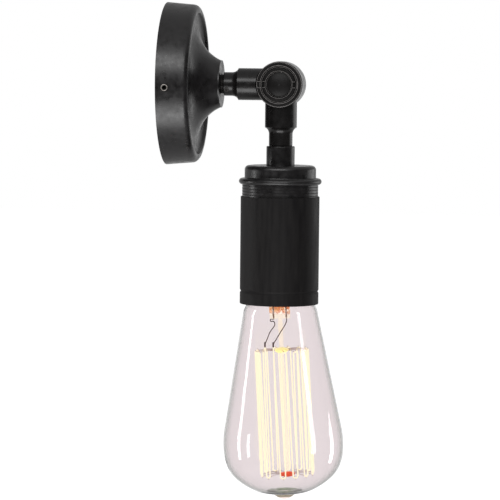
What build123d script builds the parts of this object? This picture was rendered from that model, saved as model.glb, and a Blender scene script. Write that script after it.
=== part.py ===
from build123d import *
from math import cos, radians, sin, sqrt
import os

# Industrial pipe wall light: a round canopy on the wall, a short pipe arm with a round knuckle joint,
# a drop arm, a metal lampholder and a large filament bulb that hangs down.
#
# Sizes are millimetres. The wall is the plane Y = 0 and the light stands out along -Y. +Z is up, and the
# origin is the middle of the mounting bracket's back. "Depth" is a distance out from the wall, and
# "below" is a distance down from the knuckle's hinge axis, which runs along X.

# ---- clearances -------------------------------------------------------------------------------------
SEAT = 0.05            # play between pieces that are screwed or pushed together
RUN = 0.08             # play at faces and bores that turn on each other
SHELL_PLAY = 0.4       # play of the bulb's cap in the lampholder's screw shell

# ---- canopy -----------------------------------------------------------------------------------------
canopy_radius = 43.0
canopy_draft = 1.45    # the side leans in by this much at the front
canopy_depth = 16.9    # wall to the crest of the rim
canopy_wall = 2.0
rim_round = 3.2
rim_width = 5.6        # from the wall-side radius to the inner edge of the crest
rim_step = 1.3         # crest down to where the bell starts
bell_sag = 4.8         # how hollow the bell's curve is
bell_foot = 0.5        # the step leans in by this much
step_round = 0.4
boss_side = 0.6        # straight side of the boss before the bell starts
boss_radius = 12.5
boss_depth = 28.9
boss_wall = 3.0

# ---- mounting bracket -------------------------------------------------------------------------------
bracket_sheet = 2.0
bracket_bend = 1.0     # inside radius of the bent ears
ear_width = 10.0
ear_height = 9.0
ear_gap = 1.5          # canopy's inside to the ears
side_screw_depth = 4.8
side_screw_drop = 1.8  # the side screws sit a little under the middle
side_screw_radius = 1.95
side_screw_proud = 0.1
side_screw_end = 0.5   # screw past the ear's inner face
plate_length = 62.0
plate_width = 24.0
plate_round = 5.0
slot_spacing = 48.0
slot_length = 12.0
slot_width = 4.6
cable_hole_radius = 7.0
block_tab_width = 26.0
earth_tab_width = 13.0
tab_edge = 5.5         # metal left past a screw's centre

# ---- terminals in the canopy ------------------------------------------------------------------------
block_size = (28.0, 10.0, 14.0)
block_height = 21.0    # above the origin
block_round = 1.5
bridge_length = 8.0    # thinner middle of the block, where its fixing screw goes through
bridge_cut_depth = 3.9
chimney_play = 0.7
clamp_inset = 5.2      # bracket's front to the middle of the clamps
pole_spacing = 17.0
clamp_size = (5.0, 5.0, 11.0)
clamp_bore = 1.7
clamp_screw_spacing = 5.6
clamp_screw_radius = 1.25
clamp_screw_inset = 1.6
clamp_screw_head = 1.2
fixing_screw_radius = 1.5
fixing_head_radius = 2.7
fixing_head_height = 2.0
screw_tip_depth = 0.2  # the bracket's screws end just short of the wall
earth_screw_drop = 24.0
earth_screw_radius = 2.0
earth_head_radius = 3.6
earth_head_height = 2.4
tag_sheet = 0.8
tag_radius = 4.2
tag_bridge = 3.0
crimp_wall = 0.5
crimp_length = 4.0
crimp_neck = 2.6

# ---- wires ------------------------------------------------------------------------------------------
core_radius = 1.1
core_spacing = 2.8     # between the two cores inside the arms
core_offset = 1.9      # cores run this far beside the arms' middle, on their own eye's side
core_bend = 6.6
neutral_bend = 6.0
earth_bend = 5.0
insert_bend = 4.5
clamp_grip = 2.8       # bare end held inside a clamp
live_low = 8.0         # where each core leaves the block's side, above the arm's axis
neutral_low = 6.5
live_cross = 7.3       # clamps to where each core has reached its line inside the arm
neutral_cross = 9.8
core_end_gap = 3.0     # a core's end to the clamp screw's shank
spread_start = 3.3     # the cores part this far under the holder's top
spread_end = 0.5       # and are in line with their terminals this far above the insert's pockets

# ---- threaded tube, nuts ----------------------------------------------------------------------------
tube_radius = 4.95
tube_bore = 3.7
tube_engagement = 8.0  # length screwed into each arm
washer_radius = 7.6
washer_sheet = 1.0
nut_flats = 13.0
nut_height = 3.0
tube_tail = 1.4        # tube past the locknut
arm_gap = 1.3          # boss face to the arm's end, where the tube shows

# ---- knuckle ----------------------------------------------------------------------------------------
hinge_depth = 60.6
arm_radius = 8.43
arm_body = 22.6        # hinge to the end of the full-size body
neck_radius = 6.25
neck_flare = 3.5
neck_end_round = 0.6
drop_neck_end = 32.5
eye_radius = 12.2
eye_clearance = 0.6    # an arm's shoulder to the other arm's eye
eye_chamfer = 0.4
eye_wall = 2.0
cavity_radius = 8.6
friction_sheet = 0.6
neck_screw_radius = 1.3
neck_screw_inset = 1.9
neck_screw_angle = 28.0

# ---- clamp screw and clamp nut ----------------------------------------------------------------------
cap_radius = 12.1
cap_flange = 2.5
cap_edge_round = 0.9
cap_groove_radius = 9.6
cap_groove = 0.4
cap_ring_height = 3.4
cap_ring_radius = 9.3
cap_ring_chamfer = 0.8
dome_radius = 6.6
dome_edge_height = 2.2
dome_height = 3.6
moat_width = 0.6
moat_floor = 1.2
slot_cut_width = 3.1
slot_cut_floor = 1.5
slot_cut_reach = 9.7   # the slot's blind end, measured from the axis
shank_radius = 3.0
barrel_radius = 5.0
barrel_reach = 6.4     # length of the nut's barrel inside its eye
shank_end_gap = 0.4
wave_washer_radius = 6.4
wave_washer_sheet = 1.0
nut_thread_reach = 1.2 # blind thread past the nut's seat

# ---- lampholder -------------------------------------------------------------------------------------
bush_radius = 7.5
bush_edge_round = 0.5
bush_spigot_radius = 6.5
bush_flange_radius = 8.2
bush_flange = 1.0
cap_top = 42.7
holder_wall = 0.9
holder_cap_radius = 18.9
holder_cap_round = 2.3
cap_side = 6.6         # cap top to the flare
bead_centre = 51.1
bead_radius = 1.6
bead_ring_radius = 20.3
skirt_radius = 20.1
skirt_wall = 0.8
skirt_overlap = 7.0    # threaded skirt hidden inside the sleeve
flare_height = 0.9
flare_round = 0.8
sleeve_top = 59.1
sleeve_bottom = 116.0
sleeve_radius = 20.9
sleeve_wall = 0.7
sleeve_edge_round = 0.3
groove_below = 109.3
groove_depth = 0.55
groove_half = 0.9
ledge_below = 100.9
ledge_sheet = 1.4
ledge_bore = 16.0

# ---- lampholder insert ------------------------------------------------------------------------------
insert_top = 53.0
insert_flange = 4.0
insert_radius = 17.4
insert_ceiling = 75.1  # top of the space that the bulb's cap fills
shell_wall = 0.5
shell_flange_bore = 8.0
shell_drop = 1.5       # ceiling to the shell's flange
holder_block = (10.0, 6.0, 8.0)
holder_block_offset = 10.5
holder_block_depth = 10.0   # pocket depth in the insert
wire_hole_radius = 1.35
holder_screw_radius = 1.4
holder_screw_head = 2.1
contact_strip = (6.0, 0.6)
rivet_radius = 1.6
contact_back = -1.9    # the strip's fixed end, its bend, its low point and its lifted end, from the axis
contact_bend = 1.8
contact_low = 6.6
contact_front = 9.2
contact_lift = 0.6
terminal_screw_gap = 4.2   # wire hole to screw
terminal_screw_head = 1.6

# ---- bulb -------------------------------------------------------------------------------------------
contact_tip = 78.4
contact_radius = 4.6
contact_height = 0.9
insulator_height = 3.9
bulb_cap_radius = 13.1
bulb_cap_wall = 0.4
bulb_cap_length = 22.0
bulb_skirt_step = 0.2
bulb_skirt_length = 3.2
bulb_cap_shoulder = 2.6
neck_glass_radius = 12.3
glass_overlap = 5.2    # envelope's neck inside its cap
glass_wall = 0.9
flank_start = (19.8, 120.8)
flank_end = (31.15, 182.0)
bulb_radius = 32.0
bulb_widest = 191.0
crown_mid = (27.3, 207.2)
crown_low = (17.6, 214.6)
tip_top = (6.6, 217.6)
tip_radius = 2.7
bulb_bottom = 220.6
glass_lean = 1.9       # the envelope was sealed a little crooked, and leans out from the wall
glass_pivot = 99.0
mount_lean = 3.3       # so was the glass mount inside it
mount_pivot = 112.0

# ---- bulb's mount and filament ----------------------------------------------------------------------
stem_inset = 1.5       # envelope's edge to the flare's rim
stem_flare_length = 6.0
stem_tube_length = 7.5
stem_tube_radius = 4.6
stem_tube_wall = 0.9
pinch_length = 9.0
pinch_size = (11.0, 3.4)
pinch_round = 1.3
rod_radius = 1.2
hub_radius = 2.0
hub_length = 3.0
upper_hub = 141.0
lower_hub = 207.7
cage_top_radius = 14.1
cage_bottom_radius = 14.2
cage_loops = 10
cage_gap = 20.0        # angle between the two fed ends of the filament
cage_start = 77.0      # angle of the first fed end, from the wall side towards -X
feed_rise = 4.0        # the fed ends are this far above the cage's top
support_radius = 0.25
filament_radius = 0.3
lead_radius = 0.35
lead_spread = 6.8      # between the two leads in the pinch
lead_drop = 1.5        # pinch to the leads' bend
lead_hold = 8.0        # length of a lead that is sealed in the pinch

# ---- sizes that follow ------------------------------------------------------------------------------
canopy_inner = canopy_radius - canopy_wall
bore_radius = tube_radius + SEAT
arm_end_depth = boss_depth + arm_gap
upper_neck_end = hinge_depth - arm_end_depth
eye_half = friction_sheet / 2
shoulder_radius = eye_radius + eye_clearance
skirt_inner = skirt_radius - skirt_wall
sleeve_inner = sleeve_radius - sleeve_wall
shell_inner = bulb_cap_radius + SHELL_PLAY
insert_bore = shell_inner + shell_wall + SEAT
bulb_cap_top = contact_tip + contact_height + insulator_height
bulb_cap_end = bulb_cap_top + bulb_cap_length
glass_start = bulb_cap_end - glass_overlap
stem_flare_top = glass_start + stem_inset
stem_flare_end = stem_flare_top + stem_flare_length
pinch_top = stem_flare_end + stem_tube_length
pinch_bottom = pinch_top + pinch_length
nodes = {}


# ---- helpers ----------------------------------------------------------------------------------------
ROUND_WALL_AXIS = (Plane(origin=(0, 0, 0), x_dir=(1, 0, 0), z_dir=(0, 0, -1)), Axis.Y)   # (radius, depth)
ROUND_DROP_AXIS = (Plane(origin=(0, 0, 0), x_dir=(1, 0, 0), z_dir=(0, 1, 0)), Axis.Z)    # (radius, below)
ROUND_HINGE_AXIS = (Plane(origin=(0, 0, 0), x_dir=(-1, 0, 0), z_dir=(0, 1, 0)), Axis.X)  # (out, radius)


def outline(*corners):
    """A closed outline through (x, y) or (x, y, fillet radius) corners."""
    radii = [corner[2] if len(corner) > 2 else 0 for corner in corners]
    return FilletPolyline(*[corner[:2] for corner in corners], radius=radii, close=True)


def turned(around, *lines):
    """The solid that an outline sweeps when it turns round one of the three axes above."""
    plane, axis = around
    return revolve(plane * make_face(lines), axis)


def rod(start, end, radius):
    """A round bar, or a drill, from start to end."""
    span = Vector(end) - Vector(start)
    base = (Align.CENTER, Align.CENTER, Align.MIN)
    return Plane(origin=start, z_dir=span) * Cylinder(radius, span.length, align=base)


def on_arm(part):
    """Moves a part drawn round the hinge to where the hinge is."""
    return Pos(0, -hinge_depth, 0) * part


def arc_about(centre, start, end):
    """The arc round a centre from start to end, by its shorter way."""
    middle = ((start - centre) + (end - centre)).normalized() * (start - centre).length
    return ThreePointArc(start, centre + middle, end)


def grub_screw(seat, face, radius):
    """A headless screw with a hexagon socket in its outer end."""
    inward = Vector(seat) - Vector(face)
    socket = extrude(RegularPolygon(radius * 0.58, 6), min(radius * 1.3, inward.length / 2))
    return rod(seat, face, radius) - Plane(origin=face, z_dir=inward) * socket


def slotted_screw(tip, seat, head_height, radius, head_radius):
    """A cheese-head screw: its shank from tip to seat, then a slotted head."""
    out = (Vector(seat) - Vector(tip)).normalized()
    top = Vector(seat) + out * head_height
    slot = Box(head_radius * 3, head_radius * 0.35, head_height)
    return rod(tip, seat, radius) + rod(seat, top, head_radius) - Plane(origin=top, z_dir=out) * slot


def core(route, bend_radii):
    """An insulated wire along straight runs joined by arcs."""
    path = FilletPolyline(*route, radius=bend_radii)
    return sweep(Plane(origin=path @ 0, z_dir=path % 0) * Circle(core_radius), path=path)


def group(parts):
    """Separate solids kept together as one named piece."""
    return Compound(children=[solid for part in parts for solid in part.solids()])


# ---- canopy and bracket -----------------------------------------------------------------------------
def canopy():
    """Spun cover: leaning side, rounded rim, small step, then a hollow bell up to a flat boss."""
    bell_start = Vector(canopy_radius - rim_width - bell_foot, canopy_depth - rim_step)
    bell_end = Vector(boss_radius, boss_depth - boss_side)
    chord = bell_end - bell_start
    bell_radius = (chord.length**2 / 4 + bell_sag**2) / (2 * bell_sag)
    to_room = Vector(chord.Y, -chord.X).normalized()
    centre = bell_start + chord / 2 + to_room * (bell_radius - bell_sag)
    outside = FilletPolyline(
        bell_start,
        (canopy_radius - rim_width, canopy_depth),
        (canopy_radius - canopy_draft, canopy_depth),
        (canopy_radius, 0),
        radius=[step_round, rim_round],
    )
    inner_arc = bell_radius + canopy_wall
    floor = centre.Y - inner_arc
    boss_floor = boss_depth - boss_wall
    inner_start = Vector(centre.X, floor)
    inner_end = Vector(centre.X - sqrt(inner_arc**2 - (centre.Y - boss_floor) ** 2), boss_floor)
    inner_side = canopy_inner - canopy_draft * floor / canopy_depth
    shell = turned(
        ROUND_WALL_AXIS,
        outside,
        Line((canopy_radius, 0), (canopy_inner, 0)),
        Line((canopy_inner, 0), (inner_side, floor)),
        Line((inner_side, floor), inner_start),
        arc_about(centre, inner_start, inner_end),
        Line(inner_end, (bore_radius, boss_floor)),
        Line((bore_radius, boss_floor), (bore_radius, boss_depth)),
        Line((bore_radius, boss_depth), (boss_radius, boss_depth)),
        Line((boss_radius, boss_depth), bell_end),
        arc_about(centre, bell_end, bell_start),
    )
    return shell - side_screw_drill(canopy_radius)


def side_screw_drill(half_length):
    """The drill along X that makes the holes for both side screws."""
    ends = [(side * half_length, -side_screw_depth, -side_screw_drop) for side in (-1, 1)]
    return rod(*ends, side_screw_radius + SEAT)


def mounting_bracket():
    """Steel cross bar against the wall, with slots for the wall screws and an ear bent out at each end."""
    ear_x = canopy_inner - ear_gap
    inside_x = ear_x - bracket_sheet
    bend_out = bracket_bend + bracket_sheet
    strap = outline(
        (-ear_x, -ear_height), (-ear_x, 0, bend_out), (ear_x, 0, bend_out), (ear_x, -ear_height),
        (inside_x, -ear_height), (inside_x, -bracket_sheet, bracket_bend),
        (-inside_x, -bracket_sheet, bracket_bend), (-inside_x, -ear_height),
    )
    bar = extrude(make_face(strap), ear_width / 2, both=True)
    block_tab = block_height + tab_edge
    earth_tab = earth_screw_drop + tab_edge
    plate = RectangleRounded(plate_length, plate_width, plate_round)
    plate += Pos(0, block_tab / 2) * Rectangle(block_tab_width, block_tab)
    plate += Pos(0, -earth_tab / 2) * Rectangle(earth_tab_width, earth_tab)
    slots = [Pos(side * slot_spacing / 2, 0) * SlotOverall(slot_length, slot_width) for side in (-1, 1)]
    holes = slots + [
        Circle(cable_hole_radius),
        Pos(0, block_height) * Circle(fixing_screw_radius + SEAT),
        Pos(0, -earth_screw_drop) * Circle(earth_screw_radius + SEAT),
    ]
    bracket = bar + extrude(Plane.XZ * plate, bracket_sheet)
    bracket -= extrude(Plane.XZ * (Sketch() + holes), bracket_sheet)
    return bracket - side_screw_drill(ear_x)


def canopy_side_screws():
    """Socket set screws through the canopy's side into the bracket's ears."""
    outer = canopy_radius - canopy_draft * side_screw_depth / canopy_depth + side_screw_proud
    inner = canopy_inner - ear_gap - bracket_sheet - side_screw_end
    screws = []
    for side in (-1, 1):
        ends = [(side * x, -side_screw_depth, -side_screw_drop) for x in (inner, outer)]
        screws.append(grub_screw(*ends, side_screw_radius))
    return group(screws)


# ---- threaded tube and its nuts ---------------------------------------------------------------------
def threaded_tube(start, end):
    """A hollow all-thread tube between two points."""
    return rod(start, end, tube_radius) - rod(start, end, tube_bore)


def ring(start, end, outer):
    """A flat ring on the threaded tube."""
    return rod(start, end, outer) - rod(start, end, bore_radius)


def locknut(front):
    """Hexagon nut on the tube, chamfered on both faces, whose front face is at this depth."""
    back = front - nut_height
    corners = nut_flats / sqrt(3)
    blank = extrude(Plane.XZ * RegularPolygon(corners, 6), nut_height)
    blank = Pos(0, -back, 0) * blank
    edge = nut_height * 0.2
    barrel = turned(ROUND_WALL_AXIS, outline(
        (0, back), (nut_flats / 2, back), (corners, back + edge),
        (corners, front - edge), (nut_flats / 2, front), (0, front),
    ))
    return (blank & barrel) - rod((0, -back, 0), (0, -front, 0), bore_radius)


grip_z = -(washer_radius + tag_sheet + core_radius + 2 * SEAT)


def earth_tag(front):
    """Ring tag under the locknut, with a tongue bent back beside the nut that grips the earth lead."""
    back = front - tag_sheet
    flat = ring((0, -back, 0), (0, -front, 0), washer_radius)
    grip = rod((0, -back, grip_z), (0, nut_height - back, grip_z), core_radius + tag_sheet)
    bridge = Box(tag_bridge, tag_sheet, tag_bridge)
    bridge = Pos(0, -(front + back) / 2, (grip_z - washer_radius) / 2) * bridge
    hole = rod((0, -back - 1, grip_z), (0, nut_height - back + 1, grip_z), core_radius + SEAT)
    return flat + bridge + grip - hole


# ---- terminals in the canopy ------------------------------------------------------------------------
pole_x = pole_spacing / 2
block_back = bracket_sheet
block_front = bracket_sheet + block_size[1]
clamp_middle = bracket_sheet + clamp_inset


def terminal_block():
    """Insulating block for the supply, with a chimney over each clamp screw and a bridge for its fixing."""
    body = Pos(0, -(block_back + block_front) / 2, block_height) * Box(*block_size)
    body = fillet(body.edges().filter_by(Axis.Y), block_round)
    bridge_cut = Box(bridge_length, 2 * bridge_cut_depth, block_size[2])
    body -= Pos(0, -block_front, block_height) * bridge_cut
    pocket = Box(*[size + 2 * SEAT for size in clamp_size])
    for x in (-pole_x, pole_x):
        body -= Pos(x, -clamp_middle, block_height) * pocket
        body -= rod((x, -clamp_middle, 0), (x, -clamp_middle, 2 * block_height), clamp_bore)
        for z in clamp_screw_heights():
            body -= rod((x, -clamp_middle, z), (x, -block_front - 1, z), clamp_screw_radius + chimney_play)
    return body - rod((0, 0, block_height), (0, -block_front, block_height), fixing_screw_radius + SEAT)


def clamp_screw_heights():
    return [block_height + side * clamp_screw_spacing / 2 for side in (-1, 1)]


def terminal_clamps():
    """Brass tubes that join the supply to the light's own wires."""
    clamps = []
    for x in (-pole_x, pole_x):
        clamp = Pos(x, -clamp_middle, block_height) * Box(*clamp_size)
        clamp -= rod((x, -clamp_middle, 0), (x, -clamp_middle, 2 * block_height), clamp_bore)
        for z in clamp_screw_heights():
            clamp -= rod((x, -clamp_middle, z), (x, -block_front, z), clamp_screw_radius + SEAT)
        clamps.append(clamp)
    return group(clamps)


def terminal_clamp_screws():
    """Two headless slotted screws for each clamp."""
    tip = clamp_middle + core_radius
    seat = block_front - clamp_screw_inset
    screws = []
    for x in (-pole_x, pole_x):
        for z in clamp_screw_heights():
            screws.append(slotted_screw((x, -tip, z), (x, -seat, z), clamp_screw_head,
                                        clamp_screw_radius, clamp_screw_radius))
    return group(screws)


def block_fixing_screw():
    """Holds the terminal block on the bracket's tab."""
    seat = block_front - bridge_cut_depth
    return slotted_screw((0, -screw_tip_depth, block_height), (0, -seat, block_height), fixing_head_height,
                         fixing_screw_radius, fixing_head_radius)


def earth_screw():
    """Bonds the ring terminal to the bracket."""
    seat = bracket_sheet + tag_sheet
    return slotted_screw((0, -screw_tip_depth, -earth_screw_drop), (0, -seat, -earth_screw_drop),
                         earth_head_height, earth_screw_radius, earth_head_radius)


earth_core_depth = bracket_sheet + tag_sheet + core_radius + 0.3
earth_grip_top = -earth_screw_drop + tag_radius + crimp_length


def earth_ring_terminal():
    """Flat ring under the earth screw, with a crimped barrel towards the arm."""
    front = bracket_sheet + tag_sheet
    low = -earth_screw_drop
    flat = rod((0, -bracket_sheet, low), (0, -front, low), tag_radius)
    crimp = ((0, -earth_core_depth, low + tag_radius), (0, -earth_core_depth, earth_grip_top))
    barrel = rod(*crimp, core_radius + crimp_wall)
    neck_height = tag_radius * 0.8
    neck = Box(crimp_neck, tag_sheet, neck_height)
    neck = Pos(0, -(bracket_sheet + front) / 2, low + tag_radius * 0.9) * neck
    hole = rod(*crimp, core_radius + SEAT)
    screw_hole = rod((0, -bracket_sheet, low), (0, -front, low), earth_screw_radius + SEAT)
    return flat + neck + barrel - hole - screw_hole


# ---- knuckle ----------------------------------------------------------------------------------------
def knuckle_arm(neck_end, hole_radius, washer_pocket):
    """One arm of the knuckle, drawn hanging from the hinge with its eye on the -X side.

    The eye is half as thick as the arm is wide. Past the middle the arm is cut back round the hinge, so
    that the other arm's eye can turn there. The eye is hollow for the wires, which run in a side of the arm.
    """
    flare_drop = arm_radius - neck_radius
    flare_radius = (flare_drop**2 + neck_flare**2) / (2 * flare_drop)
    flare_end = Vector(neck_radius, arm_body + neck_flare)
    flare_centre = flare_end + Vector(flare_radius, 0)
    flare_start = Vector(arm_radius, arm_body)
    neck = FilletPolyline(
        flare_end, (neck_radius, neck_end), (0, neck_end), (0, 0), (arm_radius, 0), flare_start,
        radius=[neck_end_round, 0, 0, 0],
    )
    arm = turned(ROUND_DROP_AXIS, neck, arc_about(flare_centre, flare_start, flare_end))
    reach = 2 * arm_radius
    arm -= rod((-eye_half, 0, 0), (reach, 0, 0), shoulder_radius)
    arm += turned(ROUND_HINGE_AXIS, outline(
        (eye_half, 0), (eye_half, eye_radius), (arm_radius - eye_chamfer, eye_radius),
        (arm_radius, eye_radius - eye_chamfer), (arm_radius, 0),
    ))
    arm -= rod((0, 0, 0), (eye_wall - arm_radius, 0, 0), cavity_radius)
    arm -= rod((0, 0, 0), (-arm_radius, 0, 0), hole_radius)
    if washer_pocket:
        arm -= rod((-arm_radius, 0, 0), (wave_washer_sheet - arm_radius, 0, 0), wave_washer_radius + SEAT)
    arm -= rod((0, 0, -cavity_radius + 1), (0, 0, -neck_end), tube_bore)
    return arm - rod((0, 0, tube_engagement - neck_end), (0, 0, -neck_end), bore_radius)


def neck_screw_line(outer, inner):
    """Two points of the neck screw's axis, at these distances from the arm's axis."""
    along = Vector(0, -(arm_end_depth + neck_screw_inset), 0)
    out = Vector(-cos(radians(neck_screw_angle)), 0, -sin(radians(neck_screw_angle)))
    return along + out * inner, along + out * outer


def upper_knuckle():
    """Horizontal arm: the same casting as the drop arm, turned over, with its eye on the far side."""
    arm = mirror(knuckle_arm(upper_neck_end, barrel_radius + SEAT, False), Plane.YZ)
    arm = on_arm(Rot(90, 0, 0) * arm)
    inner, outer = neck_screw_line(neck_radius + 2, tube_radius)
    return arm - rod(inner, outer, neck_screw_radius + SEAT)


def neck_set_screw():
    """Locks the arm on the canopy's tube."""
    inner, outer = neck_screw_line(neck_radius + 0.05, tube_radius + SEAT)
    return grub_screw(inner, outer, neck_screw_radius)


def lower_knuckle():
    return on_arm(knuckle_arm(drop_neck_end, shank_radius + RUN, True))


def friction_washer():
    """Fibre ring between the two eyes."""
    ring_of = rod((RUN - eye_half, 0, 0), (eye_half, 0, 0), eye_radius - 0.3)
    return on_arm(ring_of - rod((-1, 0, 0), (1, 0, 0), cavity_radius + 0.2))


def wave_washer():
    outer = arm_radius - SEAT
    inner = arm_radius - wave_washer_sheet + SEAT
    washer = rod((-inner, 0, 0), (-outer, 0, 0), wave_washer_radius)
    return on_arm(washer - rod((-inner, 0, 0), (-outer, 0, 0), shank_radius + 2 * RUN))


def cap_face(seat):
    """The turned cap of the clamp screw and nut, seated at this distance from the hinge's middle.

    From its edge inwards it has a flange, a fine groove, a raised ring, a deep moat and a dome.
    """
    ring_foot = seat + cap_flange
    ring_top = seat + cap_ring_height
    moat = seat + moat_floor
    moat_out = dome_radius + moat_width
    dome_edge = Vector(seat + dome_edge_height, dome_radius)
    dome_top = Vector(seat + dome_height, 0)
    rise = dome_height - dome_edge_height
    dome_centre = dome_top - Vector((dome_radius**2 + rise**2) / (2 * rise), 0)
    steps = FilletPolyline(
        dome_edge,
        (moat, dome_radius),
        (moat, moat_out),
        (ring_top, moat_out),
        (ring_top, cap_ring_radius - cap_ring_chamfer),
        (ring_foot, cap_ring_radius),
        (ring_foot - cap_groove, cap_groove_radius),
        (ring_foot, cap_groove_radius + cap_groove),
        (ring_foot, cap_radius),
        (seat, cap_radius),
        (seat, 0),
        dome_top,
        radius=[0, 0, 0.2, 0.3, 0, 0, 0, cap_edge_round, 0, 0],
    )
    return turned(ROUND_HINGE_AXIS, steps, arc_about(dome_centre, dome_top, dome_edge))


def clamp_screw():
    """Large slotted screw that squeezes the two eyes together. Its slot is cut in from one edge."""
    seat = arm_radius + RUN
    tip = arm_radius + nut_thread_reach - shank_end_gap
    screw = cap_face(seat) + rod((-seat - 1, 0, 0), (tip, 0, 0), shank_radius)
    run_out = slot_cut_reach + cap_radius + 1
    middle = (cap_radius + 1 - slot_cut_reach) / 2
    height = cap_ring_height - slot_cut_floor + 1
    cutter = Pos(-seat - slot_cut_floor - height / 2, middle, 0) * Box(height, run_out, slot_cut_width)
    cutter = fillet(cutter.edges().filter_by(Axis.X).sort_by(Axis.Y)[:2], slot_cut_width * 0.3)
    return on_arm(screw - (cutter - rod((0, 0, 0), (-3 * arm_radius, 0, 0), dome_radius)))


def clamp_nut():
    """Far-side cap with a threaded barrel that the clamp screw bites in."""
    nut = mirror(cap_face(arm_radius), Plane.YZ)
    nut += rod((arm_radius + 1, 0, 0), (arm_radius - barrel_reach, 0, 0), barrel_radius)
    return on_arm(nut - rod((0, 0, 0), (arm_radius + nut_thread_reach, 0, 0), shank_radius + RUN))


# ---- lampholder -------------------------------------------------------------------------------------
def holder_tube():
    """Threaded tube from the drop arm to the entry bush."""
    top = drop_neck_end - tube_engagement
    return on_arm(threaded_tube((0, 0, -top), (0, 0, -(cap_top - 1))))


def entry_bush():
    """The collar above the holder, riveted through the cap's top."""
    flange_top = cap_top + holder_wall
    return on_arm(turned(ROUND_DROP_AXIS, outline(
        (bore_radius, drop_neck_end),
        (bush_radius, drop_neck_end, bush_edge_round),
        (bush_radius, cap_top),
        (bush_spigot_radius, cap_top),
        (bush_spigot_radius, flange_top),
        (bush_flange_radius, flange_top),
        (bush_flange_radius, flange_top + bush_flange),
        (bore_radius, flange_top + bush_flange),
    )))


def holder_cap():
    """Spun cup with a rolled bead and, under it, the skirt that the sleeve screws on."""
    inside = holder_cap_radius - holder_wall
    flare = cap_top + cap_side
    skirt_end = sleeve_top + skirt_overlap
    cup = turned(ROUND_DROP_AXIS, outline(
        (bush_spigot_radius + SEAT, cap_top),
        (holder_cap_radius, cap_top, holder_cap_round),
        (holder_cap_radius, flare, flare_round),
        (bead_ring_radius, flare + flare_height),
        (bead_ring_radius, bead_centre),
        (skirt_radius, bead_centre),
        (skirt_radius, skirt_end),
        (skirt_inner, skirt_end),
        (skirt_inner, insert_top),
        (inside, insert_top - 1),
        (inside, cap_top + holder_wall, holder_cap_round - holder_wall),
        (bush_spigot_radius + SEAT, cap_top + holder_wall),
    ))
    bead = Pos(0, 0, -bead_centre) * Torus(bead_ring_radius, bead_radius)
    return on_arm(cup + bead)


def holder_sleeve():
    """Long drawn tube with a rolled groove near its mouth and a ledge inside that carries the insert."""
    groove = sleeve_inner - groove_depth
    ledge_end = ledge_below + ledge_sheet
    return on_arm(turned(ROUND_DROP_AXIS, outline(
        (sleeve_inner, sleeve_top),
        (sleeve_radius, sleeve_top, sleeve_edge_round),
        (sleeve_radius, groove_below - groove_half),
        (sleeve_radius - groove_depth, groove_below, 0.2),
        (sleeve_radius, groove_below + groove_half),
        (sleeve_radius, sleeve_bottom, sleeve_edge_round),
        (sleeve_inner, sleeve_bottom),
        (sleeve_inner, groove_below + groove_half),
        (groove, groove_below, 0.2),
        (sleeve_inner, groove_below - groove_half),
        (sleeve_inner, ledge_end),
        (ledge_bore, ledge_end),
        (ledge_bore, ledge_below),
        (sleeve_inner, ledge_below),
    )))


def ceramic_insert():
    """Porcelain body: a flange under the cap, two terminal pockets and the round space for the bulb's cap."""
    body = turned(ROUND_DROP_AXIS, outline(
        (0, insert_top),
        (skirt_inner - SEAT, insert_top),
        (skirt_inner - SEAT, insert_top + insert_flange),
        (insert_radius, insert_top + insert_flange),
        (insert_radius, ledge_below),
        (insert_bore, ledge_below),
        (insert_bore, insert_ceiling),
        (0, insert_ceiling),
    ))
    width, length, _ = holder_block
    for side in (-1, 1):
        pocket = Box(width + 2 * SEAT, length + 2 * SEAT, 2 * holder_block_depth)
        body -= Pos(0, side * holder_block_offset, -insert_top) * pocket
    return on_arm(body - rod((0, 0, -insert_top), (0, 0, -insert_ceiling), rivet_radius + SEAT))


def screw_shell():
    """Metal cup that the bulb's cap screws into."""
    top = insert_ceiling + shell_drop
    return on_arm(turned(ROUND_DROP_AXIS, outline(
        (shell_flange_bore, top),
        (shell_inner + shell_wall, top, shell_wall),
        (shell_inner + shell_wall, ledge_below - SEAT),
        (shell_inner, ledge_below - SEAT),
        (shell_inner, top + shell_wall),
        (shell_flange_bore, top + shell_wall),
    )))


def centre_contact():
    """Sprung brass strip, riveted under the ceiling, that presses on the bulb's contact."""
    width, sheet = contact_strip
    low = contact_tip - SEAT - sheet / 2
    high = insert_ceiling + sheet / 2
    line = Polyline((contact_back, -high), (contact_bend, -high), (contact_low, -low),
                    (contact_front, -low + contact_lift))
    strip = extrude(Plane.XZ * make_face(offset(line, sheet / 2)), width / 2, both=True)
    rivet = rod((0, 0, -insert_top - holder_block_depth), (0, 0, -high), rivet_radius)
    return on_arm(strip + rivet)


def holder_block_centres():
    """Middles of the two terminal blocks that sit in the insert's pockets."""
    floor = insert_top + holder_block_depth
    middle = floor - holder_block[2] / 2
    return [Vector(0, side * holder_block_offset, -middle) for side in (-1, 1)]


def holder_terminals():
    """Two brass blocks, each with a hole for a wire and one for its screw."""
    blocks = []
    screw_x = terminal_screw_gap - core_offset
    drills = ((-core_offset, wire_hole_radius), (screw_x, holder_screw_radius + SEAT))
    for centre in holder_block_centres():
        block = Pos(*centre) * Box(*holder_block)
        for x, radius in drills:
            top = centre + Vector(x, 0, holder_block[2] / 2)
            block -= rod(top, top - Vector(0, 0, holder_block[2] * 0.75), radius)
        blocks.append(on_arm(block))
    return group(blocks)


def holder_terminal_screws():
    """Cheese-head screws in the two terminal blocks."""
    screws = []
    for centre in holder_block_centres():
        seat = centre + Vector(terminal_screw_gap - core_offset, 0, holder_block[2] / 2)
        tip = seat - Vector(0, 0, holder_block[2] * 0.7)
        screw = slotted_screw(tip, seat, terminal_screw_head, holder_screw_radius, holder_screw_head)
        screws.append(on_arm(screw))
    return group(screws)


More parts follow.
